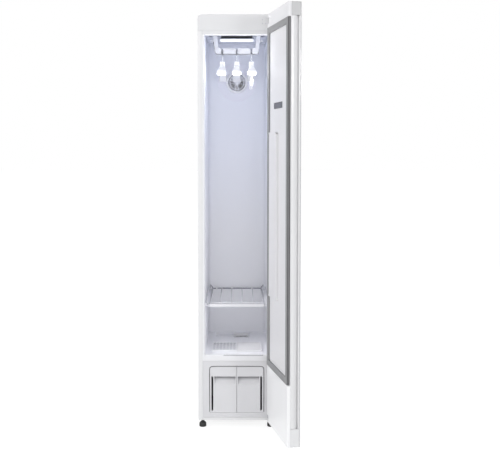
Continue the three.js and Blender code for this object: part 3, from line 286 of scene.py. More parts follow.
class Value:  # wraps a shader node's output, so that a sum written on it adds its Math node
    def __init__(self, paint, socket):
        self.paint = paint
        self.socket = socket

    def __add__(self, other):
        return self.paint.maths("ADD", self, other)

    def __radd__(self, other):
        return self.paint.maths("ADD", other, self)

    def __sub__(self, other):
        return self.paint.maths("SUBTRACT", self, other)

    def __mul__(self, other):
        return self.paint.maths("MULTIPLY", self, other)


class Paint:  # makes the nodes of one material or of the world
    def __init__(self, owner):
        self.owner = owner
        owner.use_nodes = True
        self.tree = owner.node_tree

    def feed(self, node, socket, value):
        target = node.inputs[socket]
        if isinstance(value, Value):
            self.tree.links.new(value.socket, target)
        elif isinstance(value, tuple) and len(value) == 3 and target.type == "RGBA":
            target.default_value = (*value, 1)
        else:
            target.default_value = value

    def node(self, kind, settings=None, output=0, **inputs):
        made = self.tree.nodes.new("ShaderNode" + kind)
        for name, value in (settings or {}).items():
            setattr(made, name, value)
        for name, value in inputs.items():
            self.feed(made, int(name[1:]) if name[1:].isdigit() else name.replace("_", " "), value)
        return Value(self, made.outputs[output] if made.outputs else None)

    def maths(self, operation, first, second):
        return self.node("Math", {"operation": operation}, i0=first, i1=second)

    def position(self):
        return self.node("TexCoord", output="Object")

    def along(self, axis):
        return self.node("SeparateXYZ", output=axis, Vector=self.position())

    def ramp(self, value, start, end):  # 0 before start, 1 after end
        return self.node("MapRange", {"clamp": True}, Value=value, From_Min=start, From_Max=end)

    def noise(self, scale, detail, roughness=0.5, vector=None):
        return self.node("TexNoise", Vector=vector or self.position(), Scale=scale, Detail=detail,
                         Roughness=roughness)

    def vary(self, middle, scale, detail=4, change=0.12):  # a number that drifts about its middle
        return middle + (self.noise(scale, detail) - 0.5) * change

    def mixColor(self, share, first, second):
        return self.node("Mix", {"data_type": "RGBA"}, output=2, i0=share, i6=first, i7=second)

    def bump(self, height, strength, distance):
        return self.node("Bump", Height=height, Strength=strength, Distance=distance)

    def grain(self, scale=900, depth=0.00003, strength=0.5):  # the fine texture of a moulded surface
        return self.bump(self.noise(scale, 2, 0.6), strength, depth)

    def finish(self, **sockets):  # feeds the surface shader: numbers stay on it, links carry what varies
        shader = self.tree.nodes["Principled BSDF"]
        for socket, value in sockets.items():
            self.feed(shader, socket.replace("_", " "), value)
        return self.owner


def shadeOf(color, factor):
    return tuple(min(1.0, channel * factor) for channel in color)


# noise scales that the plastics share: slow drift of the colour and finer drift of the gloss
plasticSettings = {"clouds": 5, "gloss": 38, "ior": 1.46}


def mouldedPlastic(name, color, roughness, coat=0.0, grain=900, depth=0.00003):
    paint = Paint(bpy.data.materials.new(name))
    base = paint.mixColor(paint.noise(plasticSettings["clouds"], 3), shadeOf(color, 0.975), shadeOf(color, 1.025))
    return paint.finish(Base_Color=base, Roughness=paint.vary(roughness, plasticSettings["gloss"]),
                        IOR=plasticSettings["ior"], Coat_Weight=coat, Coat_Roughness=0.1,
                        Normal=paint.grain(grain, depth))


# mottled between low and high, and darkening to deep from front to rear as painted shade
def depthShadedPlastic(name, low, high, deep, front, rear, roughness, ior, coat, depth, strength):
    paint = Paint(bpy.data.materials.new(name))
    # painted shade: 0 at the front depth, 1 at the rear depth
    inward = paint.ramp(paint.along("Y"), depthAt(front), depthAt(rear))
    pale = paint.mixColor(paint.noise(plasticSettings["clouds"], 3), low, high)
    return paint.finish(Base_Color=paint.mixColor(inward, pale, deep), IOR=ior, Coat_Weight=coat,
                        Roughness=paint.vary(roughness, plasticSettings["gloss"]),
                        Normal=paint.grain(depth=depth, strength=strength))


def powderCoat(name, color, roughness=0.42):
    paint = Paint(bpy.data.materials.new(name))
    orangePeel = paint.noise(420, 2, 0.4)
    speck = paint.node("TexVoronoi", Vector=paint.position(), Scale=1500.0)
    base = paint.mixColor(paint.noise(3.5, 4), shadeOf(color, 0.975), shadeOf(color, 1.02))
    return paint.finish(Base_Color=base, Roughness=roughness + (orangePeel - 0.5) * 0.1, IOR=1.5,
                        Coat_Weight=0.15, Coat_Roughness=0.2,
                        Normal=paint.bump(orangePeel + speck * 0.25, 0.35, 0.00006))


def metalFinish(name, color, roughness, brushed=(1, 1, 1)):  # brushed stretches the lines across an axis
    paint = Paint(bpy.data.materials.new(name))
    stretched = paint.node("Mapping", Vector=paint.position(), Scale=brushed)
    lines = paint.noise(260, 4, 0.6, stretched)
    base = paint.mixColor(paint.noise(9, 3), shadeOf(color, 0.93), shadeOf(color, 1.04))
    return paint.finish(Base_Color=base, Metallic=1.0, Roughness=roughness + (lines - 0.5) * 0.1,
                        Normal=paint.bump(lines, 0.3, 0.00001))


def rubberFinish(name, color, roughness):
    paint = Paint(bpy.data.materials.new(name))
    dust = paint.noise(26, 5, 0.6)
    base = paint.mixColor(dust, shadeOf(color, 0.88), shadeOf(color, 1.15))
    return paint.finish(Base_Color=base, Roughness=roughness + (dust - 0.5) * 0.15, IOR=1.5,
                        Sheen_Weight=0.1, Sheen_Roughness=0.6,
                        Normal=paint.bump(paint.noise(1400, 3, 0.7), 0.5, 0.00004))


# liner lengths are metres, levels above the floor and depths behind the front
linerSettings = {"white": (0.84, 0.84, 0.86), "low": (0.825, 0.825, 0.855), "high": (0.80, 0.825, 0.915),
                 "rimHighlightStart": 0.004, "rimHighlightEnd": 0.024, "lampTintFoot": 0.8, "lampTintTop": 1.6, "roughness": 0.42,
                 "openingHalf": 0.1432, "sillLevel": 0.330, "rimWidth": 0.0045, "rimSteps": 5,
                 "nearSide": 0.0008, "nearSill": 0.0005, "nearUpright": 0.0001}


def linerFinish():  # white at its front rim, fading to lavender inside as a painted highlight where light falls in at the opening; bluer towards the lamp as painted lamp light
    paint = Paint(bpy.data.materials.new("linerPlastic"))
    front = frontCorner.y
    # painted highlight: white at the rim, fading to lavender between 4 and 24 mm behind the front
    rim = paint.ramp(paint.along("Y"), front + linerSettings["rimHighlightStart"], front + linerSettings["rimHighlightEnd"])
    # painted lamp light: the lavender turns bluer from 0.8 m up to 1.6 m, towards the lamp
    height = paint.ramp(paint.along("Z"), linerSettings["lampTintFoot"], linerSettings["lampTintTop"])
    inside = paint.mixColor(height, linerSettings["low"], linerSettings["high"])
    clouded = paint.mixColor(paint.noise(4, 3) * 0.3, inside, shadeOf(linerSettings["high"], 0.92))
    base = paint.mixColor(rim, linerSettings["white"], clouded)
    return paint.finish(Base_Color=base, Roughness=paint.vary(linerSettings["roughness"], 30),
                        IOR=plasticSettings["ior"], Coat_Weight=0.12, Coat_Roughness=0.25,
                        Normal=paint.grain(1100))


# the drive slot's pocket, and the box of painted shade inside it
slotSettings = {"half": 73, "front": 169, "rear": 240, "foot": 1776, "top": 1785.6, "shadeHalf": 75,
                "shadeFront": 166.5, "shadeLevel": 1783.5, "fade": 0.5, "dark": (0.15, 0.15, 0.16)}


def housingFinish():  # the liner's lamp-tinted colour below, painted shade inside the drive slot
    paint = Paint(bpy.data.materials.new("housingPlastic"))
    half, front, level, fade = (slotSettings[key] for key in ("shadeHalf", "shadeFront", "shadeLevel", "fade"))
    above = paint.ramp(paint.along("Z"), (level - fade) / 1000, (level + fade) / 1000)
    behind = paint.ramp(paint.along("Y"), depthAt(front - fade), depthAt(front + fade))
    aside = paint.maths("ABSOLUTE", paint.along("X") - cabinetMiddle.x, 0.0)
    # painted shade: a dark box inside the drive slot, behind its front and above its level
    slot = above * behind * paint.ramp(aside, (half + fade) / 1000, (half - fade) / 1000)
    base = paint.mixColor(slot, linerSettings["high"], slotSettings["dark"])
    return paint.finish(Base_Color=base, Roughness=paint.vary(0.45, 30), IOR=plasticSettings["ior"],
                        Normal=paint.grain())


def tankFinish():
    paint = Paint(bpy.data.materials.new("tankPlastic"))
    haze = paint.noise(14, 4)
    base = paint.mixColor(haze, (0.72, 0.77, 0.82), (0.78, 0.83, 0.88))
    return paint.finish(Base_Color=base, Roughness=0.16 + haze * 0.12, IOR=1.49, Transmission_Weight=0.55,
                        Normal=paint.bump(paint.noise(160, 2), 0.2, 0.00005))


def lampFinish():
    paint = Paint(bpy.data.materials.new("lampDiffuser"))
    cells = paint.node("TexVoronoi", Vector=paint.position(), Scale=420.0)
    glow = paint.mixColor(cells, (0.90, 0.92, 1.0), (1.0, 1.0, 1.0))
    return paint.finish(Base_Color=(0.9, 0.91, 0.96), Emission_Color=glow, Emission_Strength=0.8,
                        Roughness=0.35 + cells * 0.1, Normal=paint.bump(cells, 0.4, 0.00008))


def meshFinish():  # the woven screen of the lint filter
    paint = Paint(bpy.data.materials.new("filterMesh"))
    weave = paint.node("TexBrick", Vector=paint.position(), Scale=350.0, Color1=(0.74, 0.745, 0.78),
                       Color2=(0.69, 0.695, 0.73), Mortar=(0.52, 0.53, 0.57))
    return paint.finish(Base_Color=weave, Roughness=paint.vary(0.6, 60, 3, 0.2),
                        Normal=paint.bump(paint.noise(1500, 2), 0.5, 0.00005))


def boardFinish():
    paint = Paint(bpy.data.materials.new("circuitBoard"))
    tracks = paint.node("TexBrick", Vector=paint.position(), Scale=60.0, Color1=(0.02, 0.13, 0.06),
                        Color2=(0.025, 0.17, 0.08), Mortar=(0.35, 0.28, 0.1))
    return paint.finish(Base_Color=tracks, Roughness=paint.vary(0.45, 80, 3, 0.2), IOR=1.5)


finishes = {
    "body": powderCoat("bodyPowderCoat", (0.80, 0.80, 0.805)),
    "trim": mouldedPlastic("trimPlastic", (0.71, 0.707, 0.725), 0.36),
    "header": mouldedPlastic("headerPlastic", (0.745, 0.745, 0.755), 0.36),
    "liner": linerFinish(),
    "dish": mouldedPlastic("dishPlastic", (0.80, 0.81, 0.90), 0.4),
    "housing": housingFinish(),
    # painted shade: the rack is white plastic like the hangers, given a darker grey-blue here
    "rack": mouldedPlastic("rackPlasticPaintedShade", (0.62, 0.63, 0.67), 0.34, coat=0.2),
    "hanger": mouldedPlastic("hangerPlastic", (0.98, 0.985, 0.99), 0.3, coat=0.3),
    "panel": mouldedPlastic("panelPlastic", (0.79, 0.785, 0.80), 0.42),
    "gloss": mouldedPlastic("glossCover", (0.95, 0.95, 0.955), 0.3, coat=0.2, grain=500, depth=0.000008),
    "glass": mouldedPlastic("backPaintedGlass", (0.62, 0.62, 0.63), 0.06, coat=1.0, grain=300, depth=0.000004),
    "edge": mouldedPlastic("doorEdgePlastic", (0.81, 0.81, 0.815), 0.3, coat=0.2),
    "cap": mouldedPlastic("doorCapPlastic", (0.53, 0.53, 0.535), 0.34),
    "gasket": rubberFinish("gasketRubber", (0.26, 0.26, 0.265), 0.55),
    # dark rubber for strips that stand in for shade: the gasket's groove fills, the rack's shadow line and the gap
    # round the tank bay; also the sill's dark line
    "darkStrip": rubberFinish("darkStripRubber", (0.07, 0.07, 0.075), 0.6),
    "plate": mouldedPlastic("plateFilm", (0.10, 0.10, 0.11), 0.3),
    "foot": rubberFinish("footRubber", (0.012, 0.012, 0.013), 0.5),
    "vent": mouldedPlastic("ventPlastic", (0.90, 0.905, 0.95), 0.4),
    "filter": mouldedPlastic("filterPlastic", (0.76, 0.765, 0.79), 0.45),
    "mesh": meshFinish(),
    "fan": mouldedPlastic("fanPlastic", (0.50, 0.505, 0.56), 0.45),
    "dark": mouldedPlastic("darkPlastic", (0.045, 0.045, 0.055), 0.5),
    # painted shade: the shelf wires darken from 160 mm back to 446 mm, towards the rear
    "shelf": depthShadedPlastic("shelfCoatingRearShade", (0.62, 0.62, 0.65), (0.66, 0.66, 0.70), (0.22, 0.22, 0.26),
                              front=160, rear=446, roughness=0.32, ior=1.48, coat=0.3, depth=0.00002, strength=0.4),
    "chrome": metalFinish("chromePlate", (0.86, 0.87, 0.89), 0.14),
    "zinc": metalFinish("zincPlate", (0.62, 0.63, 0.65), 0.38, (1, 1, 12)),
    "fins": metalFinish("millAluminium", (0.72, 0.73, 0.75), 0.4, (14, 1, 1)),
    "blackSteel": powderCoat("blackEnamel", (0.02, 0.02, 0.022), 0.3),
    "duct": mouldedPlastic("ductFoam", (0.6, 0.6, 0.6), 0.7, grain=500, depth=0.0002),
    "tank": tankFinish(),
    # painted shade: the tank fronts darken from 12 mm to 30 mm behind the front, inside the grip recesses
    "tankFront": depthShadedPlastic("tankFrontRecessShade", (0.69, 0.687, 0.705), (0.73, 0.727, 0.745),
                                  (0.34, 0.34, 0.355), front=12, rear=30, roughness=0.36, ior=1.46, coat=0.0,
                                  depth=0.00003, strength=0.5),
    "lamp": lampFinish(),
    "board": boardFinish(),
}
print("finishes made:", len(finishes))

# casing: copies of the pressed and moulded shells with their edges rounded
casingEdges = {"sheet": 0.6, "header": 2.4, "fascia": 1.2, "bay": 0.8, "ledge": 0.9, "bracket": 0.7, "lens": 1.2}

for name, node, slot, finish, edge in (
    ("leftSide", "side_panel_left", "body_paint", "body", "sheet"),
    ("rightSide", "side_panel_right", "body_paint", "body", "sheet"),
    ("topCover", "top_panel", "body_paint", "body", "sheet"),
    ("rearCover", "back_panel", "body_paint", "body", "sheet"),
    ("basePan", "base_pan", "body_paint", "body", "sheet"),
    ("headerTrim", "header_trim", "trim_white", "header", "header"),
    ("lowerFascia", "lower_fascia", "trim_white", "trim", "fascia"),
    ("tankBay", "tank_bay", "trim_white", "trim", "bay"),
    ("leftLedge", "shelf_ledge_left", "liner_plastic", "liner", "ledge"),
    ("rightLedge", "shelf_ledge_right", "liner_plastic", "liner", "ledge"),
    ("lowerHinge", "hinge_bracket_bottom", "body_paint", "zinc", "bracket"),
    ("upperHinge", "hinge_bracket_top", "body_paint", "header", "bracket"),
    ("airOutlet", "steam_outlet", "liner_plastic", "trim", "bracket"),
    ("lampCover", "lamp_lens", "lamp_white", "lamp", "lens"),
):
    roundedCopy(name, node, "cabinet", slot, finish, casingEdges[edge])


def makeLiner():  # only the rim of the opening is rounded
    liner = copyNode("cavityLiner", "cabinet_liner")
    editAll(liner)
    front = depthAt(0.5)

    def isRim(first, second):
        onFront = first.y < front and second.y < front
        offSide = abs(abs(first.x - cabinetMiddle.x) - linerSettings["openingHalf"])
        upright = offSide < linerSettings["nearSide"] and abs(first.x - second.x) < linerSettings["nearUpright"]
        offSill = max(abs(corner.z - linerSettings["sillLevel"]) for corner in (first, second))
        return onFront and (upright or offSill < linerSettings["nearSill"])

    pickEdges(liner, isRim)
    bpy.ops.mesh.bevel(offset=linerSettings["rimWidth"], segments=linerSettings["rimSteps"], affect="EDGES",
                       loop_slide=False)
    endEdit()
    smoothShade(liner, 32)
    return liner


settle(makeLiner(), "cabinet", "liner_plastic", "liner", "cabinet_liner")
print("casing finished")

# levelling feet, one modelled and three copied
footSettings = {"x": -154, "front": 18, "rear": 507, "rim": 16, "rimTop": 19, "neck": 7, "top": 32.6, "ribs": 20,
                "ribFoot": 3, "ribTop": 12, "ribGap": 0.2, "ribDepth": 0.8}


def makeFoot():
    rim, rimTop, neck, top = (footSettings[key] for key in ("rim", "rimTop", "neck", "top"))
    profile = [(0, 0), (rim - 1.8, 0), (rim - 0.5, 0.6), (rim, 1.8), (rim, rimTop - 6), (rim - 0.4, rimTop - 3.4),
               (rim - 1.6, rimTop - 1.2), (rim - 3.6, rimTop + 0.8), (neck + 3.2, rimTop + 2.6),
               (neck + 1.2, rimTop + 4.4), (neck, rimTop + 5.2), (neck, top - 1.8), (neck + 1.6, top - 1.4),
               (neck + 1.6, top), (0, top)]
    foot = lathe("frontLeftFoot", profile, (footSettings["x"], footSettings["front"], 0),
                 steps=2 * footSettings["ribs"])
    centre = place(footSettings["x"], footSettings["front"], 0)

    def isGroove(middle, normal):
        turn = math.atan2(middle.y - centre.y, middle.x - centre.x) / math.pi * footSettings["ribs"]
        onSide = abs(normal.z) < 0.1 and footSettings["ribFoot"] < middle.z * 1000 < footSettings["ribTop"]
        return onSide and math.floor(turn) % 2 == 0

    editAll(foot)
    pickFaces(foot, isGroove)
    bpy.ops.mesh.inset(thickness=footSettings["ribGap"] / 1000, depth=-footSettings["ribDepth"] / 1000,
                       use_individual=True)
    endEdit()
    smoothShade(foot, 35)
    return foot


foot = makeFoot()
across = Vector((-2 * footSettings["x"], 0, 0)) / 1000
back = Vector((0, footSettings["rear"] - footSettings["front"], 0)) / 1000
for name, node, shift in (("frontRightFoot", "foot_front_right", across), ("rearLeftFoot", "foot_rear_left", back),
                          ("rearRightFoot", "foot_rear_right", across + back)):
    settle(copyTo(foot, name, shift), "cabinet", "foot_rubber", "foot", node)
settle(foot, "cabinet", "foot_rubber", "foot", "foot_front_left")
print("feet finished")

# swaying rack: the moulded bar and its shadow line
rackSettings = {"edge": 2.4, "lineY": 181, "lineRadius": 1.3, "leftHalf": 108, "leftTop": 1752, "rightHalf": 102,
                "rightTop": 1720, "footHalf": 98.5, "foot": 1696.6, "bend": 8}

roundedCopy("swayingRack", "hanger_rack", "hanger_rack", "hanger_white", "rack", rackSettings["edge"], 4)
lineY, half, foot = rackSettings["lineY"], rackSettings["footHalf"], rackSettings["foot"]
# painted shadow: a dark tube along the U's outline stands where the rack's shadow falls
rackLine = tube("rackShadowLine", bentPath([
    (-rackSettings["leftHalf"], lineY, rackSettings["leftTop"]), (-half, lineY, foot), (half, lineY, foot),
    (rackSettings["rightHalf"], lineY, rackSettings["rightTop"])], rackSettings["bend"]),
    rackSettings["lineRadius"], 3)
settle(rackLine, "hanger_rack", "dark_plastic", "darkStrip")


def makeHousing():  # the ceiling housing with the pocket that the rack moves in
    housing = copyNode("rackHousing", "rack_housing")
    half, front, rear, foot, top = (slotSettings[key] for key in ("half", "front", "rear", "foot", "top"))
    pocket = addBox("housingPocket", place(-half, front, foot), place(half, rear, top))
    boolean = housing.modifiers.new("pocket", "BOOLEAN")
    boolean.object = pocket
    boolean.solver = "EXACT"
    applyModifiers(housing)
    bpy.data.objects.remove(pocket)
    smoothShade(housing, 30)
    return housing


settle(makeHousing(), "cabinet", "dark_plastic", "housing", "rack_housing")

# hangers: shoulders lofted from the neck to both tips, a tapered neck, a wire hook and the clip rail
hangerSettings = {"spacing": 67.5, "middle": 202, "reach": 190, "steps": 6, "top": 1644, "drop": 40,
                  "deep": 24, "tipDeep": 20, "neckHalf": 11.6, "tipHalf": 20, "rodLevel": 1712, "loop": 6.3,
                  "hookWire": 2, "hookFoot": 1650, "railLevel": 1568, "railReach": 142.5, "railRise": 34,
                  "railBend": 7, "railRadius": 2.5, "edge": 6, "blockHalfX": 12, "blockHalfY": 17,
                  "blockDrop": 6, "blockRise": 18, "blockTaper": (0.94, 0.86, 1), "blockEdge": 2.2,
                  "lipIn": 4, "lipWidth": 1.2, "lipDepth": 1.6, "collarRise": 16.2, "clipEdge": 0.9}
collarProfile = [(2.2, 0), (4.6, 0), (4.6, 1.8), (3.6, 3), (2.2, 3.4)]


def makeShoulders(name, x):
    middle, top, deep = hangerSettings["middle"], hangerSettings["top"], hangerSettings["deep"]
    steps, reach, neckHalf = hangerSettings["steps"], hangerSettings["reach"], hangerSettings["neckHalf"]
    start = reach / steps / 2
    body = addBox(name, place(x - neckHalf, middle - start, top - deep), place(x + neckHalf, middle + start, top))
    editAll(body)
    for side in (-1, 1):
        pickFaces(body, lambda centre, normal: normal.y * side > 0.9 and (centre.y - depthAt(middle)) * side > 0)
        along, width, high, level = start, neckHalf, deep, top - deep / 2
        for step in range(1, steps + 1):
            share = (step / steps) ** 1.1
            nextAlong = start + (reach - start) * step / steps
            nextWidth = neckHalf + (hangerSettings["tipHalf"] - neckHalf) * share
            nextHigh = deep + (hangerSettings["tipDeep"] - deep) * share
            nextLevel = top - hangerSettings["drop"] * share - nextHigh / 2
            bpy.ops.mesh.extrude_region_move(TRANSFORM_OT_translate={
                "value": (0, side * (nextAlong - along) / 1000, (nextLevel - level) / 1000)})
            bpy.ops.transform.resize(value=(nextWidth / width, 1, nextHigh / high),
                                     center_override=place(x, middle + side * nextAlong, nextLevel))
            along, width, high, level = nextAlong, nextWidth, nextHigh, nextLevel
    endEdit()
    roundEdges(body, hangerSettings["edge"], 4, 40, 60)
    return body


def makeNeck(x):
    middle, level = hangerSettings["middle"], hangerSettings["top"]
    halfX, halfY, rise = hangerSettings["blockHalfX"], hangerSettings["blockHalfY"], hangerSettings["blockRise"]
    neck = addBox("hangerNeck", place(x - halfX, middle - halfY, level - hangerSettings["blockDrop"]),
                  place(x + halfX, middle + halfY, level + rise))
    editAll(neck)
    pickFaces(neck, lambda centre, normal: normal.z > 0.9)
    bpy.ops.transform.resize(value=hangerSettings["blockTaper"], center_override=place(x, middle, level + rise))
    bpy.ops.mesh.inset(thickness=hangerSettings["lipIn"] / 1000, depth=0)
    bpy.ops.mesh.inset(thickness=hangerSettings["lipWidth"] / 1000, depth=-hangerSettings["lipDepth"] / 1000)
    endEdit()
    roundEdges(neck, hangerSettings["blockEdge"], 4, 40, 60)
    collar = lathe("hookCollar", collarProfile, (x, middle, level + hangerSettings["collarRise"]), 20)
    smoothShade(collar, 40)
    return [neck, collar]


def makeClipRail(x):
    middle, reach, level = hangerSettings["middle"], hangerSettings["railReach"], hangerSettings["railLevel"]
    top = level + hangerSettings["railRise"]
    return tube("clipRail", bentPath([
        (x, middle - reach, top), (x, middle - reach, level), (x, middle + reach, level), (x, middle + reach, top)],
        hangerSettings["railBend"]), hangerSettings["railRadius"], 3, 4)


def makeHook(name, x):
    middle, level, loop = hangerSettings["middle"], hangerSettings["rodLevel"], hangerSettings["loop"]
    foot = hangerSettings["hookFoot"]
    points = [(x, middle, foot), (x, middle, foot + 12), (x, middle, level - 3 * loop),
              (x, middle + loop / 3, level - 1.5 * loop)]
    for turn in range(7):
        angle = math.radians(36 * (turn - 0.5))
        points.append((x, middle + loop * math.cos(angle), level + loop * math.sin(angle)))
    return tube(name, points, hangerSettings["hookWire"], 5)


for index in (1, 2, 3):
    x = (index - 2) * hangerSettings["spacing"]
    pieces = [makeShoulders(f"hangerShoulders{index}", x), *makeNeck(x)]
    if index == 3:
        pieces.append(makeClipRail(x))
    hanger = joinPieces(f"hangerBody{index}", pieces)
    settle(hanger, f"hanger_{index}", "hanger_white", "hanger", f"hanger_{index}")
    settle(makeHook(f"hangerHook{index}", x), f"hanger_{index}", "wire_chrome", "chrome",
           f"hanger_hook_{index}")

for name, node in (("frontClip", "trouser_clip_front"), ("rearClip", "trouser_clip_rear")):
    roundedCopy(name, node, node, "hanger_white", "hanger", hangerSettings["clipEdge"])
print("rack and hangers finished")

# vent in the back wall, in a shallow dish
ventSettings = {"level": 1588, "wall": 470, "arms": 3, "spread": 24, "spokeSize": (4.4, 4.2, 40),
                "spokeMiddle": (0, -2.2, 26), "spokeEdge": 0.9, "dishRadius": 96, "dishRise": 1.6}
ringProfile = [(42.5, 0), (53.5, 0), (53.5, 2.5), (52.5, 4.4), (50, 5.7), (45.5, 5.7), (43.5, 4.8), (42.5, 3),
               (42.5, 0)]
innerProfile = [(33, 0), (37.6, 0), (37.6, 3.6), (36.6, 5), (34.2, 5), (33, 3.6), (33, 0)]
hubProfile = [(0, 0), (11, 0), (11, 3.4), (9.6, 4.9), (6, 5.5), (0, 5.7)]


def makeVent():
    centre = (0, ventSettings["wall"] - 0.3, ventSettings["level"])
    parts = [lathe("ventRing", ringProfile, centre, 64, "Y"), lathe("ventInnerRing", innerProfile, centre, 64, "Y"),
             lathe("ventHub", hubProfile, centre, 40, "Y")]
    for arm in range(ventSettings["arms"]):
        for side in (-1, 1):
            deselectAll()
            bpy.ops.mesh.primitive_cube_add(size=1, location=(0, 0, 0))
            spoke = bpy.context.object
            editAll(spoke, "EDGE")
            bpy.ops.transform.resize(value=Vector(ventSettings["spokeSize"]) / 1000, center_override=(0, 0, 0))
            bpy.ops.transform.translate(value=Vector(ventSettings["spokeMiddle"]) / 1000)
            bpy.ops.mesh.bevel(offset=ventSettings["spokeEdge"] / 1000, segments=2, affect="EDGES")
            endEdit()
            turn = math.radians(180 - arm * 120 - side * ventSettings["spread"] / 2)
            spoke.data.transform(Matrix.Translation(place(*centre)) @ Matrix.Rotation(turn, 4, "Y"))
            parts.append(spoke)
    vent = joinPieces("ventGrille", parts)
    smoothShade(vent, 35)
    return vent


settle(makeVent(), "cabinet", "vent_grey", "vent", "vent_grille")
rim, rise = ventSettings["dishRadius"], ventSettings["dishRise"]
dish = lathe("ventDish", [(54, 0), (54, rise * 0.5), (58, rise), (rim - 12, rise * 0.8), (rim - 3, 0.4), (rim, 0.05),
                          (rim, 0), (54, 0)], (0, ventSettings["wall"] - 0.02, ventSettings["level"]), 72, "Y")
smoothShade(dish, 35)
settle(dish, "cabinet", "liner_plastic", "dish")
print("vent finished")

# wire shelf: front bar, frame wire, second wire, cross wires and raised side wires with end loops
shelfSettings = {"level": 556, "half": 124, "front": 20, "back": 450, "wire": 3, "cross": 2, "spacing": 50.8,
                 "sideWire": 2.2, "sideX": 131, "sideLevel": 578, "loopFoot": 551, "barHalf": 3, "barDrop": 11,
                 "barEdge": 2.9, "second": 40, "secondRise": 4, "crossBend": 14, "sideBend": 24}
clipSettings = {"x": (-101.6, -76.2, -25.4, 76.2), "half": 4, "front": 444, "rear": 454, "foot": 551.5,
                "top": 560.5, "edge": 1.6}


def makeShelf():
    level, half = shelfSettings["level"], shelfSettings["half"]
    front, back, wire = shelfSettings["front"], shelfSettings["back"], shelfSettings["wire"]
    sideX, sideLevel, barHalf = shelfSettings["sideX"], shelfSettings["sideLevel"], shelfSettings["barHalf"]
    second, secondLevel = shelfSettings["second"], level + shelfSettings["secondRise"]
    bar = addBox("shelfFrontBar", place(-half, front - barHalf, level - shelfSettings["barDrop"]),
                 place(half, front + barHalf, level + barHalf))
    roundEdges(bar, shelfSettings["barEdge"], 5)
    parts = [bar, tube("shelfFrameWire", bentPath([
        (wire - half, front, level), (wire - half, back, level), (half - wire, back, level),
        (half - wire, front, level)], 14), wire, 3)]
    parts.append(tube("shelfSecondWire", [(wire - half, second, secondLevel), (half - wire, second, secondLevel)],
                      wire, 2))
    for index in range(4):
        x = (index - 1.5) * shelfSettings["spacing"]
        parts.append(tube(f"shelfCrossWire{index}", bentPath([
            (x, second, level + 2), (x, back - shelfSettings["crossBend"], level + 2), (x, back, level + 1)], 8),
            shelfSettings["cross"], 3))
    for side in (-1, 1):
        parts.append(tube(f"shelfSideWire{side}", bentPath([
            (side * (half - 1), front + 4, shelfSettings["loopFoot"]), (side * sideX, front + 4, level),
            (side * sideX, front + 8, sideLevel), (side * sideX, back - shelfSettings["sideBend"], sideLevel),
            (side * (half - 3), back - 2, level + 3)], 6), shelfSettings["sideWire"], 3))
    return joinPieces("wireShelf", parts)


settle(makeShelf(), "shelf", "wire_chrome", "shelf", "wire_shelf")
wireClips = []
for index, x in enumerate(clipSettings["x"]):
    clip = addBox(f"wireClip{index}", place(x - clipSettings["half"], clipSettings["front"], clipSettings["foot"]),
                  place(x + clipSettings["half"], clipSettings["rear"], clipSettings["top"]))
    roundEdges(clip, clipSettings["edge"])
    wireClips.append(clip)
settle(joinPieces("wireClips", wireClips), "shelf", "liner_plastic", "trim")
print("shelf finished")

# lift-out trays in the cavity floor, the filter's mesh and the sill's dark line
traySettings = {"edge": 0.5, "screenTop": 333, "screenFoot": 331.4, "left": -112.4, "right": -3.6, "front": 64,
                "rear": 206, "screenEdge": 0.3}
sillSettings = {"x": (-60, 30, 119), "y": -0.1, "level": 330.2, "radius": 0.9}

for name, node, finish in (("lintTray", "lint_filter", "filter"), ("aromaTray", "aroma_case", "trim")):
    roundedCopy(name, node, node, "liner_plastic", finish, traySettings["edge"], 2)
screen = addBox("lintScreen", place(traySettings["left"], traySettings["front"], traySettings["screenFoot"]),
                place(traySettings["right"], traySettings["rear"], traySettings["screenTop"]))
roundEdges(screen, traySettings["screenEdge"], 2)
settle(screen, "lint_filter", "liner_plastic", "mesh")
sill = tube("sillLine", [(x, sillSettings["y"], sillSettings["level"]) for x in sillSettings["x"]],
            sillSettings["radius"], 2, 2)
settle(sill, "cabinet", "gasket_rubber", "darkStrip")
print("floor trays finished")

# tank fronts, reservoirs, and a dark tube round their bay as painted shade in the gap
tankEdges = {"front": 1.3, "reservoir": 1.2}
bayShadeSettings = {"half": 122.6, "foot": 72, "top": 279, "bend": 15, "radius": 1.2}

for side in ("supply", "drain"):
    body = f"{side}_tank"
    roundedCopy(f"{side}TankFront", f"{body}_front", body, "trim_white", "tankFront", tankEdges["front"])
    roundedCopy(f"{side}TankReservoir", f"{body}_reservoir", body, "tank_clear", "tank", tankEdges["reservoir"])
half, foot, top = bayShadeSettings["half"], bayShadeSettings["foot"], bayShadeSettings["top"]
# painted shade: a dark tube round the bay's opening, where the gap falls in shade
bayShadeTube = tube("bayGapShade", bentPath([(-half, 0, foot), (-half, 0, top), (half, 0, top), (half, 0, foot)],
                                bayShadeSettings["bend"]), bayShadeSettings["radius"], 4)
settle(bayShadeTube, "cabinet", "gasket_rubber", "darkStrip")
print("tanks finished")

# door: core, end caps, an edge profile with the pull groove, glass, covers and inner panel
doorSettings = {"edgeX": -152, "capSeam": 1790, "footSeam": 112, "seam": 0.5, "coreEdge": 0.4, "capEdge": 1.6}
pullProfile = [(-152, -17.3), (-171.4, -17.3), (-173, -18.9), (-173, -24), (-172.6, -28), (-171.6, -32),
               (-170, -36), (-167.6, -39.6), (-164.6, -42.8), (-161.2, -45.4), (-158.2, -47.2), (-157, -48.6),
               (-157.6, -49.9), (-159.5, -50.4), (-171.8, -50.4), (-173, -51.3), (-173, -53.3), (-171.6, -54.7),
               (-152, -54.7)]


def cutAway(piece, point, normal):  # keeps the side that the normal points to
    editAll(piece)
    bpy.ops.mesh.bisect(plane_co=point, plane_no=normal, use_fill=True, clear_inner=True)
    endEdit()


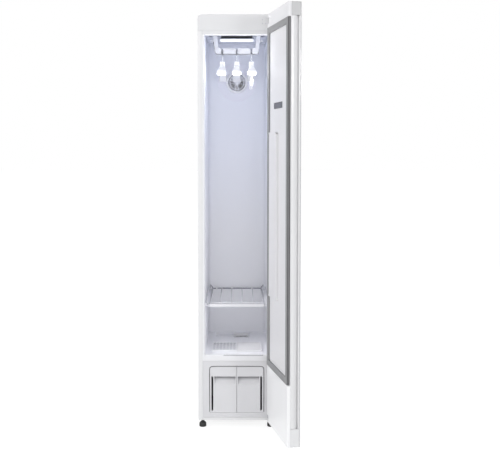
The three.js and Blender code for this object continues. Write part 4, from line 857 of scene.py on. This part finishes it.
def doorPiece(name, cuts, edge):  # a part of the door shell, cut while the door is drawn shut
    piece = copyNode(name, "door_shell")
    piece.data.transform(doorTurn.inverted())
    for point, normal in cuts:
        cutAway(piece, point, normal)
    roundEdges(piece, edge)
    return hangOnDoor(piece)


capSeam, footSeam, seam = doorSettings["capSeam"], doorSettings["footSeam"], doorSettings["seam"]
core = doorPiece("doorCore", [(place(0, 0, capSeam - seam), (0, 0, -1)), (place(0, 0, footSeam + seam), (0, 0, 1)),
                              (place(doorSettings["edgeX"], 0, 0), (1, 0, 0))], doorSettings["coreEdge"])
settle(core, "door", "door_core", "edge", "door_shell")
for name, cut, finish in (("doorTopCap", (place(0, 0, capSeam + seam), (0, 0, 1)), "cap"),
                          ("doorFootCap", (place(0, 0, footSeam - seam), (0, 0, -1)), "edge")):
    settle(doorPiece(name, [cut], doorSettings["capEdge"]), "door", "door_core", finish)
edgeProfile = drawOut("doorEdgeProfile", pullProfile, footSeam + seam, capSeam - seam)
smoothShade(edgeProfile, 38)
settle(hangOnDoor(edgeProfile), "door", "door_core", "edge")

for name, node, slot, finish, edge, body in (
    ("doorGlass", "door_glass", "door_glass", "glass", 1.9, "door"),
    ("doorLowerCover", "door_lower_cover", "door_gloss", "gloss", 1.4, "door"),
    ("doorInnerPanel", "door_liner", "door_panel", "panel", 1.4, "door"),
    ("pressHingeStrip", "press_hinge", "door_panel", "panel", 0.4, "door"),
    ("pressCoverPanel", "press_cover", "door_panel", "panel", 1.0, "press_cover"),
):
    roundedCopy(name, node, body, slot, finish, edge)

# the gasket's ring, and dark bars filling its grooves as painted shade
sealFrame = {"left": -167.5, "right": 167.5, "foot": 294.3, "top": 1785.7}
grooveShadeSettings = {"outer": 1, "inner": 5.9, "deep": 3, "starts": (-13.9, -7.25), "edge": 0.4}
gasketProfile = [(0.3, -14.7), (0, -14.4), (0, -14.1), (6, -13.9), (6, -10.9), (0.4, -10.6), (0, -10.2), (0, -8),
                 (0.4, -7.6), (6, -7.3), (6, -4.2), (0.3, -3.9), (0, -3.5), (0.3, -2.5), (1.4, -2), (7.5, -2),
                 (8.2, -2.8), (9.4, -2.8), (10.1, -2), (21, -2), (23.6, -2.5), (25.2, -3.6), (26, -5.2), (26, -7),
                 (24.8, -8.2), (24.8, -9.4), (26, -10.6), (26, -14.2), (25.4, -14.7)]
gasketRing = frameBar("doorSeal", profile=gasketProfile, **sealFrame)
smoothShade(gasketRing, 32)
settle(hangOnDoor(gasketRing), "door", "gasket_rubber", "gasket", "door_gasket")
outer, inner, deep = grooveShadeSettings["outer"], grooveShadeSettings["inner"], grooveShadeSettings["deep"]
# painted shade: dark bars filling the gasket's two grooves
grooveShadeBars = [frameBar(f"grooveShadeBar{index}", profile=[(outer, y), (outer, y + deep), (inner, y + deep), (inner, y)],
                  **sealFrame) for index, y in enumerate(grooveShadeSettings["starts"])]
gasketGrooveShade = joinPieces("doorGasketGrooveShade", grooveShadeBars)
roundEdges(gasketGrooveShade, grooveShadeSettings["edge"], 2)
settle(hangOnDoor(gasketGrooveShade), "door", "gasket_rubber", "darkStrip")

plateSettings = {"x": 3.5, "level": 1441, "halfWidth": 67.5, "halfHeight": 13, "thickness": 1.2, "face": -8.98,
                 "rim": 3, "groove": 0.6, "grooveDepth": 0.5, "edge": 0.3}


def makePlate():
    x, level, face = plateSettings["x"], plateSettings["level"], plateSettings["face"]
    halfWidth, halfHeight = plateSettings["halfWidth"], plateSettings["halfHeight"]
    plate = addBox("barePlate", place(x - halfWidth, face, level - halfHeight),
                   place(x + halfWidth, face + plateSettings["thickness"], level + halfHeight))
    editAll(plate)
    pickFaces(plate, lambda centre, normal: normal.y > 0.9)
    bpy.ops.mesh.inset(thickness=plateSettings["rim"] / 1000, depth=0)
    bpy.ops.mesh.inset(thickness=plateSettings["groove"] / 1000, depth=-plateSettings["grooveDepth"] / 1000)
    endEdit()
    roundEdges(plate, plateSettings["edge"], 2)
    return hangOnDoor(plate)


settle(makePlate(), "door", "door_panel", "plate")
print("door finished")

# screws with a cross recess: one in the back with its copies, and four small ones in the hinges
screwSettings = {"radius": 4.2, "height": 1.5, "steps": 24, "recessArm": 16, "recessReach": 0.625,
                 "recessDepth": 1.3, "back": 524.4, "backHalf": 147, "backLevels": (70, 500, 930, 1360, 1820),
                 "hingeSize": 0.6,
                 "hinge": ((113.5, -2.7, 1825.3), (114, -2.7, 1809.6), (127.5, -2.7, 1809.6), (146, 0.4, 1835))}


def makeScrew(name, centre, facing, size):
    radius, high = screwSettings["radius"] * size, screwSettings["height"] * size
    profile = [(0, high), (radius * 0.45, high), (radius * 0.8, high * 0.75), (radius, high * 0.2), (radius, -0.3),
               (0, -0.3)]
    screw = lathe(name, [(r, -h * facing) for r, h in profile], (0, 0, 0), screwSettings["steps"], "Y")
    origin, reach, width = place(0, 0, 0), radius * screwSettings["recessReach"] / 1000, screwSettings["recessArm"]

    def isRecess(middle, normal):
        arm = middle - origin
        turn = math.degrees(math.atan2(arm.z, arm.x)) % 90
        return abs(normal.y) > 0.6 and arm.length < reach and (turn < width or turn > 90 - width)

    editAll(screw)
    pickFaces(screw, isRecess)
    inward = -facing * high / screwSettings["recessDepth"] / 1000
    bpy.ops.mesh.extrude_region_move(TRANSFORM_OT_translate={"value": (0, inward, 0)})
    endEdit()
    smoothShade(screw, 40)
    screw.data.transform(Matrix.Translation(place(*centre) - origin))
    return screw


firstLevel = screwSettings["backLevels"][0]
rearScrew = makeScrew("rearScrew", (-screwSettings["backHalf"], screwSettings["back"], firstLevel), 1, 1)
rearScrews = [rearScrew]
for level in screwSettings["backLevels"]:
    for side in (0, 2 * screwSettings["backHalf"]):
        rise = level - firstLevel
        if side or rise:
            rearScrews.append(copyTo(rearScrew, f"rearScrew{level}{side}", Vector((side, 0, rise)) / 1000))
settle(joinPieces("rearScrews", rearScrews), "cabinet", "machine_zinc", "zinc")
hingeScrews = [makeScrew(f"hingeScrew{index}", spot, -1, screwSettings["hingeSize"])
               for index, spot in enumerate(screwSettings["hinge"])]
settle(joinPieces("hingeScrews", hingeScrews), "cabinet", "machine_zinc", "fan")
print("screws finished")

# CAD nodes that keep their own shape get their finish
for node, finish in (
    ("rack_motor", "zinc"), ("fan_frame", "fan"), ("circulation_fan", "vent"), ("return_duct", "duct"),
    ("compressor", "blackSteel"), ("heat_duct", "duct"), ("condenser", "fins"), ("evaporator", "fins"),
    ("blower_motor", "zinc"), ("blower_wheel", "dark"), ("steam_generator", "zinc"), ("steam_pipe", "gasket"),
    ("water_pump", "dark"), ("control_box", "board"), ("inlet_gland", "foot"), ("display_module", "board"),
):
    paintPiece(nodes[node], finish)
print("hidden machinery painted")

# studio: pale floor, soft lamps and the camera
studio = {"floorSize": 80, "worldLight": 0.62, "floorGlow": 1.2, "floorShare": 0.7}
lamps = {
    "frontFill": {"spot": (0.5, -6.6, 1.9), "target": (0, 0, 0.95), "size": 3.0, "power": 20},
    "leftKey": {"spot": (-3.6, -3.4, 2.8), "target": (0, -0.1, 1.0), "size": 1.8, "power": 84},
    "rightKey": {"spot": (2.1, -3.6, 1.9), "target": (0, -0.1, 1.0), "size": 0.5, "power": 25},
    "rearSoftbox": {"spot": (1.5, 4.6, 2.6), "target": (0, 0, 0.9), "size": 2.4, "power": 50},
    "cavityFill": {"spot": place(0, 2, 1043), "target": place(0, 470, 1043), "size": 0.27, "tall": 1.41,
                   "power": 0.32},
    "ceilingFill": {"spot": place(0, 24, 1560), "target": place(0, 70, 1782), "size": 0.24, "tall": 0.06,
                    "power": 0.72},
    "sideFill": {"spot": place(-130, 14, 1130), "target": place(143, 400, 1130), "size": 0.02, "tall": 1.0,
                 "power": 0.18},
    "floorFill": {"spot": place(0, 30, 500), "target": place(0, 200, 330), "size": 0.24, "tall": 0.08,
                  "power": 0.11},
}


def backgroundRays(paint):  # 1 where the camera, gloss or glass looks at the background
    seen, gloss, glass = (paint.node("LightPath", output=f"Is {kind} Ray")
                          for kind in ("Camera", "Glossy", "Transmission"))
    return paint.maths("MAXIMUM", paint.maths("MAXIMUM", seen, gloss), glass)


def makeStudio():
    deselectAll()
    bpy.ops.mesh.primitive_plane_add(size=studio["floorSize"], location=(0, 0, 0))
    floor = bpy.context.object
    floor.name = "studioFloor"
    paint = Paint(bpy.data.materials.new("studioFloorPaint"))
    pale = paint.mixColor(paint.noise(2, 2), (0.87, 0.87, 0.87), (0.89, 0.89, 0.89))
    floor.data.materials.append(paint.finish(Base_Color=pale, Roughness=0.9))
    surface = Value(paint, paint.tree.nodes["Principled BSDF"].outputs[0])
    glow = paint.node("Emission", Color=(1.0, 1.0, 1.0), Strength=studio["floorGlow"])
    both = paint.node("MixShader", i0=backgroundRays(paint) * studio["floorShare"], i1=surface, i2=glow)
    paint.feed(paint.tree.nodes["Material Output"], "Surface", both)

    world = bpy.data.worlds.new("studioWorld")
    bpy.context.scene.world = world
    sky = Paint(world)
    sky.tree.nodes.clear()
    soft = sky.node("Background", Color=(0.97, 0.98, 1.0), Strength=studio["worldLight"])
    white = sky.node("Background", Color=(1.0, 1.0, 1.0), Strength=1.0)
    sky.node("OutputWorld", Surface=sky.node("MixShader", i0=backgroundRays(sky), i1=soft, i2=white))


def addLamp(name, spot, target, size, power, tall=None):
    deselectAll()
    bpy.ops.object.light_add(type="AREA", location=spot)
    lamp = bpy.context.object
    lamp.name = name
    lamp.data.shape = "RECTANGLE"
    lamp.data.size = size
    lamp.data.size_y = tall or size
    lamp.data.energy = power
    lamp.rotation_euler = (Vector(target) - Vector(spot)).to_track_quat("-Z", "Y").to_euler()


cameraSettings = {"side": 7.4, "distance": 3635, "height": 1263, "tilt": 3.11, "sensor": 36, "focalPixels": 817.3,
                  "widthPixels": 500, "shiftX": 0.0232, "shiftY": -0.0658}


def makeCamera():
    deselectAll()
    bpy.ops.object.camera_add(
        location=place(cameraSettings["side"], -cameraSettings["distance"], cameraSettings["height"]),
        rotation=(math.radians(90 - cameraSettings["tilt"]), 0, 0))
    camera = bpy.context.object
    camera.data.sensor_width = cameraSettings["sensor"]
    camera.data.lens = cameraSettings["sensor"] * cameraSettings["focalPixels"] / cameraSettings["widthPixels"]
    camera.data.shift_x = cameraSettings["shiftX"]
    camera.data.shift_y = cameraSettings["shiftY"]
    camera.data.clip_start = 0.05
    camera.data.clip_end = 200
    bpy.context.scene.camera = camera


makeStudio()
for name, lamp in lamps.items():
    addLamp(name, **lamp)
makeCamera()
bpy.context.scene.view_settings.view_transform = "Standard"
print("studio finished")
